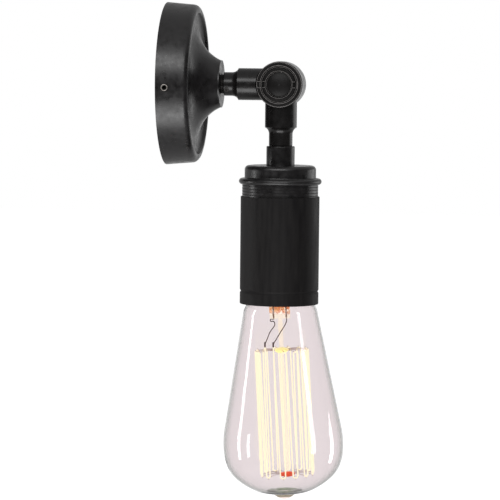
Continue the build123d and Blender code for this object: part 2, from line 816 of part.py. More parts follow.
# ---- bulb -------------------------------------------------------------------------------------------
def bulb_wall(inset):
    """The envelope's line from its neck down to its tip, moved inwards by inset."""
    in_r = Vector(-inset, 0)
    in_b = Vector(0, -inset)
    start = Vector(neck_glass_radius, glass_start) + in_r
    neck_foot = Vector(neck_glass_radius, glass_start + 4.5) + in_r
    upper = Vector(*flank_start) + in_r
    lower = Vector(*flank_end) + in_r
    widest = Vector(bulb_radius, bulb_widest) + in_r
    slope = (lower - upper).normalized()
    crown = [
        widest,
        Vector(*crown_mid) + (in_r + in_b) * 0.75,
        Vector(*crown_low) + in_b * 0.95,
        Vector(*tip_top) + in_b,
    ]
    return [
        Line(start, neck_foot),
        Spline(neck_foot, upper, tangents=[(0, 1), slope]),
        Line(upper, lower),
        Spline(lower, widest, tangents=[slope, (0, 1)]),
        Spline(*crown, tangents=[(0, 1), (-1, 0.12)]),
    ]


def leaning(part, lean, pivot):
    """Tips a part of the bulb out from the wall about a point on its axis."""
    return Pos(0, 0, -pivot) * Rot(-lean, 0, 0) * Pos(0, 0, pivot) * part


def bulb_glass():
    """Pear-shaped envelope, closed with a small sealed tip at its bottom."""
    outside = bulb_wall(0)
    inside = bulb_wall(glass_wall)
    tip_start = outside[-1] @ 1
    tip = FilletPolyline(
        tip_start, (tip_radius, tip_start.Y + 0.6), (tip_radius, bulb_bottom), (0, bulb_bottom),
        radius=[0.5, tip_radius * 0.8],
    )
    inside_end = inside[-1] @ 1
    shell = turned(
        ROUND_DROP_AXIS,
        *outside,
        tip,
        Line((0, bulb_bottom), (0, inside_end.Y)),
        Line((0, inside_end.Y), inside_end),
        *inside,
        Line(inside[0] @ 0, outside[0] @ 0),
    )
    return on_arm(leaning(shell, glass_lean, glass_pivot))


def bulb_cap():
    """Thin metal screw cap, a little wider at its skirt."""
    top = bulb_cap_top
    end = bulb_cap_end
    skirt = bulb_cap_radius + bulb_skirt_step
    inside = bulb_cap_radius - bulb_cap_wall
    return on_arm(turned(ROUND_DROP_AXIS, outline(
        (bulb_cap_radius - bulb_cap_shoulder, top - 0.8),
        (bulb_cap_radius, top + 0.8, 0.8),
        (bulb_cap_radius, end - bulb_skirt_length - 0.8),
        (skirt, end - bulb_skirt_length),
        (skirt, end),
        (skirt - bulb_cap_wall, end),
        (inside, end - bulb_skirt_length - 0.8),
        (inside, top + 1.0),
        (bulb_cap_radius - bulb_cap_shoulder - 0.2, top - 0.3),
    )))


def bulb_insulator():
    """Black glass between the cap and the contact."""
    start = contact_tip + contact_height
    end = bulb_cap_top
    return on_arm(turned(ROUND_DROP_AXIS, outline(
        (0, start),
        (contact_radius + 0.6, start, 0.4),
        (bulb_cap_radius - bulb_cap_shoulder - 0.2, end - 0.9),
        (bulb_cap_radius - bulb_cap_shoulder - 0.4, end),
        (0, end),
    )))


def bulb_contact():
    """Domed solder contact at the end of the cap."""
    return on_arm(turned(ROUND_DROP_AXIS, outline(
        (0, contact_tip),
        (contact_radius - 1.6, contact_tip, 0.5),
        (contact_radius, contact_tip + contact_height * 0.6),
        (contact_radius, contact_tip + contact_height),
        (0, contact_tip + contact_height),
    )))


def on_mount(part):
    """Places a piece of the bulb's mount, which leans more than the envelope."""
    return on_arm(leaning(part, mount_lean, mount_pivot))


def glass_stem():
    """Stem: a flare fused inside the envelope's neck, a tube, its flat pinch and the long glass rod.

    The flare is true to the envelope at its rim and to the crooked mount at its narrow end.
    """
    rim = neck_glass_radius - glass_wall - SEAT
    shells = []
    for inset in (0, stem_tube_wall):
        wide = Pos(0, 0, -stem_flare_top) * Circle(rim - inset)
        narrow = Pos(0, 0, -stem_flare_end) * Circle(stem_tube_radius - inset)
        ends = [leaning(wide, glass_lean, glass_pivot), leaning(narrow, mount_lean, mount_pivot)]
        shells.append(on_arm(loft(ends, ruled=True)))
    tube = rod((0, 0, -stem_flare_end), (0, 0, -pinch_top), stem_tube_radius)
    tube -= rod((0, 0, -stem_flare_end), (0, 0, -pinch_top), stem_tube_radius - stem_tube_wall)
    wide, thick = pinch_size
    pinch = Pos(0, 0, -(pinch_top + pinch_bottom) / 2) * Box(thick, wide, pinch_length)
    pinch = fillet(pinch.edges().filter_by(Axis.Z), pinch_round)
    for y in (-lead_spread / 2, lead_spread / 2):
        pinch -= rod((0, y, -pinch_bottom), (0, y, lead_hold + SEAT - pinch_bottom), lead_radius + SEAT)
    support_rod = rod((0, 0, 1 - pinch_bottom), (0, 0, -lower_hub), rod_radius)
    return shells[0] - shells[1] + on_mount(tube + pinch + support_rod)


def cage_point(step, top):
    """A corner of the filament. Even steps are at the top, odd ones at the bottom."""
    turn_per_step = (360 - cage_gap) / (2 * cage_loops)
    angle = radians(cage_start + step * turn_per_step)
    radius, below = (cage_top_radius, upper_hub) if top else (cage_bottom_radius, lower_hub)
    return Vector(-radius * sin(angle), radius * cos(angle), -below)


def fed_end(step):
    """Where a lead meets the filament, a little above the cage's top."""
    return cage_point(step, True) + Vector(0, 0, feed_rise)


def filament():
    """Squirrel-cage filament: one wire that runs down and up round the rod."""
    last = 2 * cage_loops
    corners = [fed_end(0)] + [cage_point(step, step % 2 == 0) for step in range(1, last)] + [fed_end(last)]
    wire = rod(corners[0], corners[1], filament_radius)
    for start, end in zip(corners[1:], corners[2:]):
        wire += Pos(*start) * Sphere(filament_radius)
        wire += rod(start, end, filament_radius)
    return on_mount(wire)


def supports(below, steps):
    """A glass bead on the rod with one fine arm for each corner of the filament."""
    radius_of = filament_radius + SEAT
    bead = rod((0, 0, hub_length / 2 - below), (0, 0, -hub_length / 2 - below), hub_radius)
    for step in steps:
        corner = cage_point(step, step % 2 == 0)
        inward = Vector(-corner.X, -corner.Y, 0).normalized()
        bead += rod((0, 0, -below), corner + inward * radius_of, support_radius)
    bead -= rod((0, 0, hub_length - below), (0, 0, -hub_length - below), rod_radius + SEAT)
    return on_mount(bead)


def upper_supports():
    return supports(upper_hub, range(2, 2 * cage_loops, 2))


def lower_supports():
    return supports(lower_hub, range(1, 2 * cage_loops, 2))


def lead_wires():
    """Two stiff wires from the pinch to the filament's ends."""
    leads = []
    for side, step in ((1, 2 * cage_loops), (-1, 0)):
        start = Vector(0, side * lead_spread / 2, lead_hold - pinch_bottom)
        elbow = Vector(start.X, start.Y, -pinch_bottom - lead_drop)
        end = fed_end(step)
        end = end + Vector(end.X, end.Y, 0).normalized() * (filament_radius + lead_radius + SEAT)
        bend = Pos(*elbow) * Sphere(lead_radius)
        leads.append(on_mount(rod(start, elbow, lead_radius) + bend + rod(elbow, end, lead_radius)))
    return group(leads)


# ---- the whole light --------------------------------------------------------------------------------
def upper_cores():
    """Routes from the terminal block's two clamps into the hollow of the far eye."""
    start = block_height - block_size[2] / 2 + clamp_grip
    end = hinge_depth - shank_radius - core_end_gap
    half = core_spacing / 2
    live = [
        (pole_x, -clamp_middle, start),
        (pole_x, -clamp_middle, live_low),
        (core_offset, -clamp_middle - live_cross, half),
        (core_offset, -end, half),
    ]
    neutral = [
        (-pole_x, -clamp_middle, start),
        (-pole_x, -clamp_middle, neutral_low),
        (core_offset, -clamp_middle - neutral_cross, -half),
        (core_offset, -end, -half),
    ]
    return core(live, [core_bend, core_bend]), core(neutral, [core_bend, neutral_bend])


def earth_lead():
    """Green and yellow lead from the tag inside the boss to the bracket's earth screw."""
    front = boss_depth - boss_wall
    return core([
        (0, -front + tag_sheet + 0.4, grip_z),
        (0, -earth_core_depth, grip_z),
        (0, -earth_core_depth, earth_grip_top - 3.0),
    ], [earth_bend])


def lower_core(side):
    """A core from the near eye's hollow down to its terminal block in the insert."""
    beside = side * core_spacing / 2
    block_y = side * holder_block_offset
    route = [
        (-core_offset, beside, -shank_radius - core_end_gap),
        (-core_offset, beside, -cap_top - spread_start),
        (-core_offset, block_y, -insert_top - spread_end),
        (-core_offset, block_y, -insert_top - holder_block_depth + holder_block[2] * 0.4),
    ]
    return on_arm(core(route, [core_bend, insert_bend]))


boss_inside = boss_depth - boss_wall
washer_front = boss_inside - tag_sheet
nut_front = washer_front - washer_sheet
tube_start = nut_front - nut_height - tube_tail
nodes["canopy"] = canopy()
nodes["mounting_bracket"] = mounting_bracket()
nodes["canopy_side_screws"] = canopy_side_screws()
nodes["canopy_tube"] = threaded_tube((0, -tube_start, 0), (0, -arm_end_depth - tube_engagement, 0))
nodes["earth_tag"] = earth_tag(boss_inside)
nodes["lock_washer"] = ring((0, -washer_front, 0), (0, -nut_front, 0), washer_radius)
nodes["locknut"] = locknut(nut_front)
nodes["terminal_block"] = terminal_block()
nodes["terminal_clamps"] = terminal_clamps()
nodes["terminal_clamp_screws"] = terminal_clamp_screws()
nodes["block_fixing_screw"] = block_fixing_screw()
nodes["earth_screw"] = earth_screw()
nodes["earth_ring_terminal"] = earth_ring_terminal()
nodes["earth_lead"] = earth_lead()
nodes["live_core_upper"], nodes["neutral_core_upper"] = upper_cores()
nodes["upper_knuckle"] = upper_knuckle()
nodes["neck_set_screw"] = neck_set_screw()
nodes["friction_washer"] = friction_washer()
nodes["clamp_nut"] = clamp_nut()
nodes["clamp_screw"] = clamp_screw()
nodes["wave_washer"] = wave_washer()
nodes["lower_knuckle"] = lower_knuckle()
nodes["holder_tube"] = holder_tube()
nodes["entry_bush"] = entry_bush()
nodes["holder_cap"] = holder_cap()
nodes["holder_sleeve"] = holder_sleeve()
nodes["ceramic_insert"] = ceramic_insert()
nodes["screw_shell"] = screw_shell()
nodes["centre_contact"] = centre_contact()
nodes["holder_terminals"] = holder_terminals()
nodes["holder_terminal_screws"] = holder_terminal_screws()
nodes["live_core_lower"] = lower_core(1)
nodes["neutral_core_lower"] = lower_core(-1)
nodes["bulb_glass"] = bulb_glass()
nodes["bulb_cap"] = bulb_cap()
nodes["bulb_insulator"] = bulb_insulator()
nodes["bulb_contact"] = bulb_contact()
nodes["glass_stem"] = glass_stem()
nodes["lead_wires"] = lead_wires()
nodes["upper_supports"] = upper_supports()
nodes["lower_supports"] = lower_supports()
nodes["filament"] = filament()

os.makedirs("parts", exist_ok=True)
for name, part in nodes.items():
    export_step(part, f"parts/{name}.step")
    print(name, len(part.solids()), round(part.volume, 1))
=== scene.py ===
# %% [markdown]
# # Dressing a pipe wall light
#
# The light is a round canopy on the wall, a short arm with a knuckle joint, a drop arm, a long metal
# lampholder and a big pear-shaped filament bulb. Its construction arrives as a finished, fixed model, so this
# lesson is about everything the eye adds: paint, glass, threads, a glowing filament, light and a camera.
#
# The wall is the plane Y = 0 and the light stands out along -Y. +Z is up. The sizes below are in millimetres
# and are turned to metres where they are used.

# %% Load the construction
from math import cos, pi, radians, sin

import bmesh
import bpy
from mathutils import Matrix, Vector


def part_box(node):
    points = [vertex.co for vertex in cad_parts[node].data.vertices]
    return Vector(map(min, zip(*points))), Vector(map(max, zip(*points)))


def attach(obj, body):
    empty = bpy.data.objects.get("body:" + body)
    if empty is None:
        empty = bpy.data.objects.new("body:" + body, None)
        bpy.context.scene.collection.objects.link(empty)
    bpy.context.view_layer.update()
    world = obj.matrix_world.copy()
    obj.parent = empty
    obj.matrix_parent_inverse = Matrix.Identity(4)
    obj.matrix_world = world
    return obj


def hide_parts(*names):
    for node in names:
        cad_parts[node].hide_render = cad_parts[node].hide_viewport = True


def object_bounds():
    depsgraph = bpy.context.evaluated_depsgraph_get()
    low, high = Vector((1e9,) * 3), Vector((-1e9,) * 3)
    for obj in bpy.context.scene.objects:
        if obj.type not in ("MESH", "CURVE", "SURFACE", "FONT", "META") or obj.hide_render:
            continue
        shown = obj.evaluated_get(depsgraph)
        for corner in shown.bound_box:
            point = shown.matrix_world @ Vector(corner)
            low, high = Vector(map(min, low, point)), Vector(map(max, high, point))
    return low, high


MM = 0.001
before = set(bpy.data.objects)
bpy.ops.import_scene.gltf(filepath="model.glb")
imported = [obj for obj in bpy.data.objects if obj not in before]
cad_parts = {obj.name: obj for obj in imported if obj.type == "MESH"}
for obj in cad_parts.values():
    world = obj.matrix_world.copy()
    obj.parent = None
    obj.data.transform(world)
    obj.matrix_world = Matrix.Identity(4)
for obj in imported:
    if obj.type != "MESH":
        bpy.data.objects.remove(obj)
cad_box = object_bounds()
scene = bpy.context.scene
scene.view_settings.view_transform = "Standard"
print("box in mm:", [[round(c / MM, 1) for c in corner] for corner in cad_box])

# %% [markdown]
# ## Helpers for colours and nodes
#
# A hex colour is written for a screen, and a shader wants linear light, so one function turns the first into
# the second. A second function adds a node, sets it up and links it in one call. Both are all that the
# materials and the geometry trees below need.


# %% Colours and nodes
def colour(code, alpha=1.0):
    """An sRGB hex colour as linear red, green, blue and alpha."""
    parts = [int(code[i : i + 2], 16) / 255 for i in (1, 3, 5)]
    return (*[c / 12.92 if c <= 0.04045 else ((c + 0.055) / 1.055) ** 2.4 for c in parts], alpha)


def add(tree, kind, sockets=None, **settings):
    """Adds a node, sets its properties, and fills or links each of its sockets."""
    node = tree.nodes.new(kind)
    for name, value in settings.items():
        setattr(node, name, value)
    for socket, value in (sockets or {}).items():
        if isinstance(value, bpy.types.NodeSocket):
            tree.links.new(value, node.inputs[socket])
        else:
            node.inputs[socket].default_value = value
    return node


# %% [markdown]
# ## The camera
#
# The picture was taken from far away with a long lens, almost level with the canopy and square to the side of
# the light. A long lens keeps the round pieces from looking stretched. The position and the lens come from
# matching the canopy's edge, the arm and the lampholder, so the pieces fall where the eye expects them.

# %% Camera
EYE = Vector((-1390, -221.6, 12.7)) * MM
AIM = Vector((0, -44.8, -87.9)) * MM
ROLL = radians(0.55)
SENSOR = 36.0
FRAME_WIDTHS_AWAY = 5.29  # focal length over the picture's width

forward = (AIM - EYE).normalized()
level = forward.cross(Vector((0, 0, 1))).normalized()
upright = level.cross(forward)
right = level * cos(ROLL) + upright * sin(ROLL)
up = upright * cos(ROLL) - level * sin(ROLL)
camera = bpy.data.objects.new("camera", bpy.data.cameras.new("camera"))
camera.data.sensor_width = SENSOR
camera.data.lens = SENSOR * FRAME_WIDTHS_AWAY
camera.matrix_world = Matrix.Translation(EYE) @ Matrix((right, up, -forward)).transposed().to_4x4()
scene.collection.objects.link(camera)
scene.camera = camera
print("lens in mm:", round(camera.data.lens, 1))

# %% [markdown]
# ## The studio
#
# Black paint shows nothing but its surroundings, so the studio does most of the work here. In reflections the
# room behind the light is white, which draws a pale line along every edge that turns away. The room on the
# camera's side is dark, which keeps the middle of each tube nearly black.
#
# What a ray sees goes by its type. The camera sees plain white, which sheds no extra light on the object. A
# ray that has passed both walls of the bulb sees white too, from whichever side it comes, so the glass looks
# clear all round. A ray that has only met the edge of one wall still sees the dark room, and that draws the
# bulb's grey outline.

# %% World
world = bpy.data.worlds.new("studio")
scene.world = world
world.use_nodes = True
air = world.node_tree
air.nodes.clear()
PAPER_BEHIND = 1.0
DARK_ROOM = 0.05
ROOM_FILL = 0.4
ROOM_THROUGH_GLASS = 0.25
CEILING_AND_GROUND = 0.35
SIDE_WALLS = 0.4
# Each pair is where a part of the room starts and where it is full. The first three are how straight a
# direction points away from the camera, from -1 to 1, and the last is how steep it is.
PAPER_EDGES = 0.85, 0.995
PAPER_EDGES_IN_GLASS = 0.75, 0.985
SIDE_EDGES = 0.05, 0.55
STEEP_EDGES = 0.3, 0.7
FOUR_FACES = 3.5  # two walls of glass have four faces, so a ray through both has crossed more than this
direction = add(air, "ShaderNodeTexCoord").outputs["Generated"]
away = add(air, "ShaderNodeVectorMath", {
    0: direction, 1: tuple(forward)}, operation="DOT_PRODUCT").outputs["Value"]
height = add(air, "ShaderNodeSeparateXYZ", {"Vector": direction}).outputs["Z"]
steepness = add(air, "ShaderNodeMath", {0: height}, operation="ABSOLUTE").outputs[0]


def room(value, starts, full, dark, bright):
    """A level of light that goes smoothly from dark to bright while a value goes between two limits."""
    return add(air, "ShaderNodeMapRange", {
        "Value": value, "From Min": starts, "From Max": full, "To Min": dark, "To Max": bright,
    }, interpolation_type="SMOOTHSTEP").outputs["Result"]


def choose(factor, otherwise, when):
    """One level or the other by a light path's flag."""
    return add(air, "ShaderNodeMix", {
        "Factor": factor, "A": otherwise, "B": when}, data_type="FLOAT").outputs["Result"]


path = add(air, "ShaderNodeLightPath").outputs
in_paint = add(air, "ShaderNodeMath", {
    0: room(away, *PAPER_EDGES, DARK_ROOM, PAPER_BEHIND),
    1: room(away, *SIDE_EDGES, 0.0, SIDE_WALLS)}, operation="MAXIMUM").outputs[0]
in_paint = add(air, "ShaderNodeMath", {
    0: in_paint, 1: room(steepness, *STEEP_EDGES, 0.0, CEILING_AND_GROUND)}, operation="MAXIMUM").outputs[0]
strength = choose(path["Is Glossy Ray"], ROOM_FILL, in_paint)
both_walls = add(air, "ShaderNodeMath", {
    0: path["Transmission Depth"], 1: FOUR_FACES}, operation="GREATER_THAN").outputs[0]
through_glass = choose(both_walls, room(away, *PAPER_EDGES_IN_GLASS, ROOM_THROUGH_GLASS, 1.0), 1.0)
strength = choose(path["Is Transmission Ray"], strength, through_glass)
strength = choose(path["Is Camera Ray"], strength, 1.0)
sky = add(air, "ShaderNodeBackground", {"Color": colour("#ffffff"), "Strength": strength})
add(air, "ShaderNodeOutputWorld", {"Surface": sky.outputs[0]})
world.cycles.sampling_method = "NONE"  # the world is seen only by rays that reach it
print("room in reflections:", DARK_ROOM, "to", PAPER_BEHIND)

# %% [markdown]
# ### Floor
#
# The floor is a wide sheet of white studio paper below the bulb. It takes the lamp's shadow, but only the
# camera sees it, and only from above. Every other ray goes through, so a view from below isn't blocked.

# %% Floor
FLOOR_BELOW_BULB = 80 * MM
FLOOR_SIZE = 8.0  # metres
PAPER_GLOW = 0.68
floor_mesh = bpy.data.meshes.new("floor")
half = FLOOR_SIZE / 2
corners = [(-half, -half, 0), (half, -half, 0), (half, half, 0), (-half, half, 0)]
floor_mesh.from_pydata(corners, [], [(0, 1, 2, 3)])
floor_mesh.transform(Matrix.Translation((0, 0, cad_box[0].z - FLOOR_BELOW_BULB)))
floor = bpy.data.objects.new("floor", floor_mesh)
scene.collection.objects.link(floor)
paper = bpy.data.materials.new("white_studio_paper")
paper.use_nodes = True
sheet = paper.node_tree
sheet.nodes.clear()
rays = add(sheet, "ShaderNodeLightPath").outputs
matt = add(sheet, "ShaderNodeBsdfDiffuse", {"Color": colour("#f4f4f4")})
glow = add(sheet, "ShaderNodeEmission", {"Color": colour("#ffffff"), "Strength": PAPER_GLOW})
lifted = add(sheet, "ShaderNodeAddShader", {0: matt.outputs[0], 1: glow.outputs[0]})
clear = add(sheet, "ShaderNodeBsdfTransparent")
underside = add(sheet, "ShaderNodeNewGeometry").outputs["Backfacing"]
from_above = add(sheet, "ShaderNodeMath", {
    0: rays["Is Camera Ray"], 1: underside}, operation="SUBTRACT").outputs[0]
paper_seen = add(sheet, "ShaderNodeMixShader", {"Fac": from_above, 1: clear.outputs[0], 2: lifted.outputs[0]})
add(sheet, "ShaderNodeOutputMaterial", {"Surface": paper_seen.outputs[0]})
floor_mesh.materials.append(paper)


# %% [markdown]
# ### Soft lights
#
# Tall strips at the sides give the glass its long highlights, and two wide lights in front, one high and one
# low, give the paint its soft bands. A studio keeps a strip off the paint with black flags. Here a lamp
# lists what it lights: the glass alone, or everything but the glass. No lamp is seen through the glass,
# because a hard white rectangle there would look wrong.


# %% Soft lights
def soft_light(name, place, width, height, watts, glass_gets_it=None):
    """A rectangular lamp at a place in millimetres that faces the lampholder.

    With glass_gets_it set it lights the bulb's glass alone (True), or all the rest (False).
    """
    lamp = bpy.data.lights.new(name, "AREA")
    lamp.shape = "RECTANGLE"
    lamp.size = width * MM
    lamp.size_y = height * MM
    lamp.energy = watts
    stand = bpy.data.objects.new(name, lamp)
    stand.location = Vector(place) * MM
    stand.rotation_euler = (LIT_MIDDLE - stand.location).to_track_quat("-Z", "Y").to_euler()
    stand.visible_camera = False
    stand.visible_transmission = False
    scene.collection.objects.link(stand)
    if glass_gets_it is not None:
        flags = bpy.data.collections.new(f"flags_of_{name}")
        flags.objects.link(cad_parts["bulb_glass"])
        flags.collection_objects[0].light_linking.link_state = "INCLUDE" if glass_gets_it else "EXCLUDE"
        stand.light_linking.receiver_collection = flags
    print(name, "gives", watts, "W")


LIT_MIDDLE = Vector((0, -55, -100)) * MM
soft_light("wall_side_strip", (-52, 698, -90), 110, 740, 2.3, glass_gets_it=True)
soft_light("wall_side_panel", (-52, 698, -30), 110, 620, 1.0, glass_gets_it=False)
soft_light("room_side_strip", (-336, -800, -30), 150, 620, 2.2, glass_gets_it=True)
soft_light("wall_side_low", (-391, 698, -260), 110, 340, 0.9, glass_gets_it=True)
soft_light("room_side_low", (243, -678, -270), 120, 360, 1.2, glass_gets_it=True)
soft_light("rim_panel", (450, -660, -50), 520, 300, 0.5, glass_gets_it=False)
soft_light("high_front", (-1020, -40, 600), 1150, 440, 5.0)
soft_light("low_front", (-850, 0, -860), 1100, 620, 7.0, glass_gets_it=False)

# %% [markdown]
# ## Finishes
#
# Each finish is named for what it is on the real light. Most are one shader with a little noise in its
# colour, roughness and bump, because a single flat value never looks made. The noise reads object
# coordinates, in metres, so a scale of 1 / size gives spots of that size.


# %% Finish builder
CLOUD_LOW, CLOUD_HIGH = 0.3, 0.7  # nearly all of a noise lies between these
CLOUD_DETAIL, GRAIN_DETAIL = 5.0, 3.0


def finish(name, base, shader=None, spots=None, spot_size=1.0, stretch=(1, 1, 1), roughness=(0.4, 0.5),
           bump=None):
    """A material whose colour and roughness wander between two values over spots of a size in millimetres.

    Stretch squeezes the spots along X, Y and Z. Bump is a grain's size and depth in millimetres.
    """
    material = bpy.data.materials.new(name)
    material.use_nodes = True
    tree = material.node_tree
    tree.nodes.clear()
    place = add(tree, "ShaderNodeTexCoord").outputs["Object"]
    squeezed = add(tree, "ShaderNodeVectorMath", {0: place, 1: stretch}, operation="MULTIPLY").outputs[0]
    cloud = add(tree, "ShaderNodeTexNoise", {
        "Vector": squeezed, "Scale": 1 / (spot_size * MM), "Detail": CLOUD_DETAIL})
    tint = add(tree, "ShaderNodeMapRange", {
        "Value": cloud.outputs["Fac"], "From Min": CLOUD_LOW, "From Max": CLOUD_HIGH})
    mixed = add(tree, "ShaderNodeMix", {
        "Factor": tint.outputs["Result"], "A": colour(base), "B": colour(spots or base)}, data_type="RGBA")
    rough = add(tree, "ShaderNodeMapRange", {
        "Value": cloud.outputs["Fac"], "From Min": CLOUD_LOW, "From Max": CLOUD_HIGH,
        "To Min": roughness[0], "To Max": roughness[1]})
    sockets = {"Base Color": mixed.outputs["Result"], "Roughness": rough.outputs["Result"], **(shader or {})}
    if bump:
        grain = add(tree, "ShaderNodeTexNoise", {
            "Vector": place, "Scale": 1 / (bump[0] * MM), "Detail": GRAIN_DETAIL})
        relief = add(tree, "ShaderNodeBump", {"Height": grain.outputs["Fac"], "Distance": bump[1] * MM})
        sockets["Normal"] = relief.outputs["Normal"]
    surface = add(tree, "ShaderNodeBsdfPrincipled", sockets)
    add(tree, "ShaderNodeOutputMaterial", {"Surface": surface.outputs[0]})
    return material


# %% [markdown]
# ### Black paint
#
# The spun canopy and the lampholder's cap have a thin satin black paint. The drawn sleeve is duller, and the
# paint follows the metal so closely that faint upright streaks show. The castings of the knuckle have the
# paint over a slightly grainy surface, which spreads its highlights. The clamp screw's turned head is dull,
# so the painted highlights on its edges stand out. The small screws and tubes are blackened steel with a
# slight sheen.

# %% Black finishes
spun_black = finish(
    "satin_black_paint_on_spun_steel", "#131112", {"Specular IOR Level": 0.75}, spots="#1e1c1d",
    spot_size=3.0, roughness=(0.25, 0.42), bump=(0.5, 0.01))
drawn_black = finish(
    "matt_black_paint_on_drawn_tube", "#121011", {"Specular IOR Level": 0.25}, spots="#1c1a1a", spot_size=2.2,
    stretch=(1, 1, 0.12), roughness=(0.48, 0.62), bump=(0.5, 0.004))
cast_black = finish(
    "satin_black_paint_on_casting", "#121111", {"Specular IOR Level": 0.5}, spots="#1b1919", spot_size=3.0,
    roughness=(0.22, 0.32), bump=(0.35, 0.006))
turned_black = finish(
    "satin_black_paint_on_turned_steel", "#121111", {"Specular IOR Level": 0.22}, spots="#1b1919",
    spot_size=6.0, roughness=(0.36, 0.46))
black_steel = finish(
    "blackened_steel", "#1b1918", {"Metallic": 0.6}, spots="#2c2927", spot_size=1.5, roughness=(0.34, 0.48))

# %% [markdown]
# ### Metals behind the canopy and in the lampholder
#
# These pieces only show from behind or when the bulb is out. Zinc plating is a cool grey with pale cloudy
# crystals, brass is warm and fairly smooth, and the bulb's cap has bright nickel over brass.

# %% Plated and plain metals
METAL = {"Metallic": 1.0}
zinc = finish("bright_zinc_plating", "#a9adb0", METAL, spots="#c3c6c6", spot_size=4.0, roughness=(0.26, 0.42))
brass = finish("turned_brass", "#b08a4a", METAL, spots="#c69d58", spot_size=2.0, roughness=(0.22, 0.34))
tinned = finish("tinned_brass", "#a8a69a", METAL, spots="#bdbaab", spot_size=2.0, roughness=(0.30, 0.44))
nickel = finish("nickel_plated_brass", "#b9b6ac", METAL, spots="#cbc8bd", spot_size=5.0,
                roughness=(0.16, 0.28))
solder = finish("lead_free_solder", "#8d9094", METAL, spots="#a2a4a6", spot_size=0.8, roughness=(0.34, 0.5))
copper = finish("bare_copper_wire", "#b5613a", METAL, spots="#8a4326", spot_size=0.7, roughness=(0.25, 0.4))

# %% [markdown]
# ### Plastics and porcelain
#
# Nylon terminal blocks are milky and soft looking, which a little subsurface gives. The lampholder's insert
# is unglazed electrical porcelain, off white and dry. Wire insulation is smooth and slightly glossy.

# %% Insulators
nylon = finish("white_nylon", "#e4e1d6", {"Subsurface Weight": 0.1, "Subsurface Scale": MM},
               spots="#dbd8cc", spot_size=5.0, roughness=(0.42, 0.5))
porcelain = finish("unglazed_porcelain", "#ddd7c8", spots="#cfc8b7", spot_size=3.0, roughness=(0.55, 0.7),
                   bump=(0.4, 0.01))
fibre = finish("pressed_fibre", "#211a15", spots="#15110e", spot_size=0.8, roughness=(0.7, 0.85))
brown_pvc = finish("brown_insulation", "#4a2416", spots="#532a1a", spot_size=4.0, roughness=(0.3, 0.38))
blue_pvc = finish("blue_insulation", "#1c5f9c", spots="#2467a5", spot_size=4.0, roughness=(0.3, 0.38))
green_pvc = finish("green_and_yellow_insulation", "#3f8a3a", spots="#d6c73a", spot_size=2.6,
                   stretch=(1, 0.4, 1), roughness=(0.3, 0.38))
vitrite = finish("black_cap_glass", "#0b0c0e", spots="#15161a", spot_size=3.0, roughness=(0.05, 0.1))

# %% [markdown]
# ### Clear glass and the glowing filament
#
# The bulb is a thin shell of clear glass with a faint smoky rose tint. Light crosses four surfaces on its way
# through, and each one takes a little colour, so the colour on the shader is only a touch off white. A wall
# seen edge-on has more glass in the way, so the tint turns darker and greener there.
#
# The stem is clear lead glass, with orange blotches in the pinch where the wires sealed in it catch the
# filament's light. The filament is bright carbon. It gives light of its own, a warm pale yellow.


# %% Glass and glow
GLASS_IOR = 1.48
FILAMENT_LIGHT = "#fff2cf"


def glass(name, tint, light_inside=0.0):
    """Clear glass, or glass that carries some of the filament's light."""
    material = bpy.data.materials.new(name)
    material.use_nodes = True
    shader = material.node_tree.nodes["Principled BSDF"]
    for socket, value in {
        "Base Color": colour(tint), "Roughness": 0.0, "IOR": GLASS_IOR, "Transmission Weight": 1.0,
        "Emission Color": colour(FILAMENT_LIGHT), "Emission Strength": light_inside,
    }.items():
        shader.inputs[socket].default_value = value
    return material


def glowing(name, base, light, strength):
    """Gives light of one colour: the hot wire itself, and a painted glow on the beads and sealed wires."""
    material = bpy.data.materials.new(name)
    material.use_nodes = True
    shader = material.node_tree.nodes["Principled BSDF"]
    for socket, value in {
        "Base Color": colour(base), "Roughness": 0.6,
        "Emission Color": colour(light), "Emission Strength": strength,
    }.items():
        shader.inputs[socket].default_value = value
    return material


BULB_TINT, EDGE_TINT = "#f6f0f1", "#bccbc2"
EDGE_STARTS = 0.62  # how far the glass has turned away where the edge's tint begins
bulb_glass = glass("smoky_rose_clear_glass", BULB_TINT)
blown = bulb_glass.node_tree
slant = add(blown, "ShaderNodeLayerWeight", {"Blend": 0.5}).outputs["Facing"]
edge_on = add(blown, "ShaderNodeMapRange", {"Value": slant, "From Min": EDGE_STARTS, "From Max": 1.0})
glass_tint = add(blown, "ShaderNodeMix", {
    "Factor": edge_on.outputs["Result"], "A": colour(BULB_TINT), "B": colour(EDGE_TINT)}, data_type="RGBA")
blown.links.new(glass_tint.outputs["Result"], blown.nodes["Principled BSDF"].inputs["Base Color"])
seal_glass = glass("olive_glass_at_the_seal", "#6c8a58")
# The tip's glass has a faint painted glow, which keeps it pale.
tip_glass = glass("rosy_glass_at_the_tip", "#fbf0ee", light_inside=0.1)

# %% Stem glass
COPPER_LIGHT_END, COPPER_LIGHT_BLUR = -121.5, 0.7  # millimetres below the hinge
BLOTCH_SIZE = 1.8
BLOTCH_LOW, BLOTCH_HIGH = 0.44, 0.5
# The stem's glass has a faint painted glow too, and its orange blotches are painted light from the sealed
# wires.
stem_glass = glass("lead_glass_stem", "#fdf8ec", light_inside=0.1)
stem = stem_glass.node_tree
in_stem = add(stem, "ShaderNodeTexCoord").outputs["Object"]
cloudy = add(stem, "ShaderNodeTexNoise", {"Vector": in_stem, "Scale": 1 / (BLOTCH_SIZE * MM)}).outputs["Fac"]
stem_height = add(stem, "ShaderNodeSeparateXYZ", {"Vector": in_stem}).outputs["Z"]
in_pinch = add(stem, "ShaderNodeMapRange", {
    "Value": stem_height, "From Min": (COPPER_LIGHT_END - COPPER_LIGHT_BLUR) * MM,
    "From Max": (COPPER_LIGHT_END + COPPER_LIGHT_BLUR) * MM})
blotch = add(stem, "ShaderNodeMapRange", {
    "Value": cloudy, "From Min": BLOTCH_LOW, "From Max": BLOTCH_HIGH, "To Max": in_pinch.outputs["Result"]})
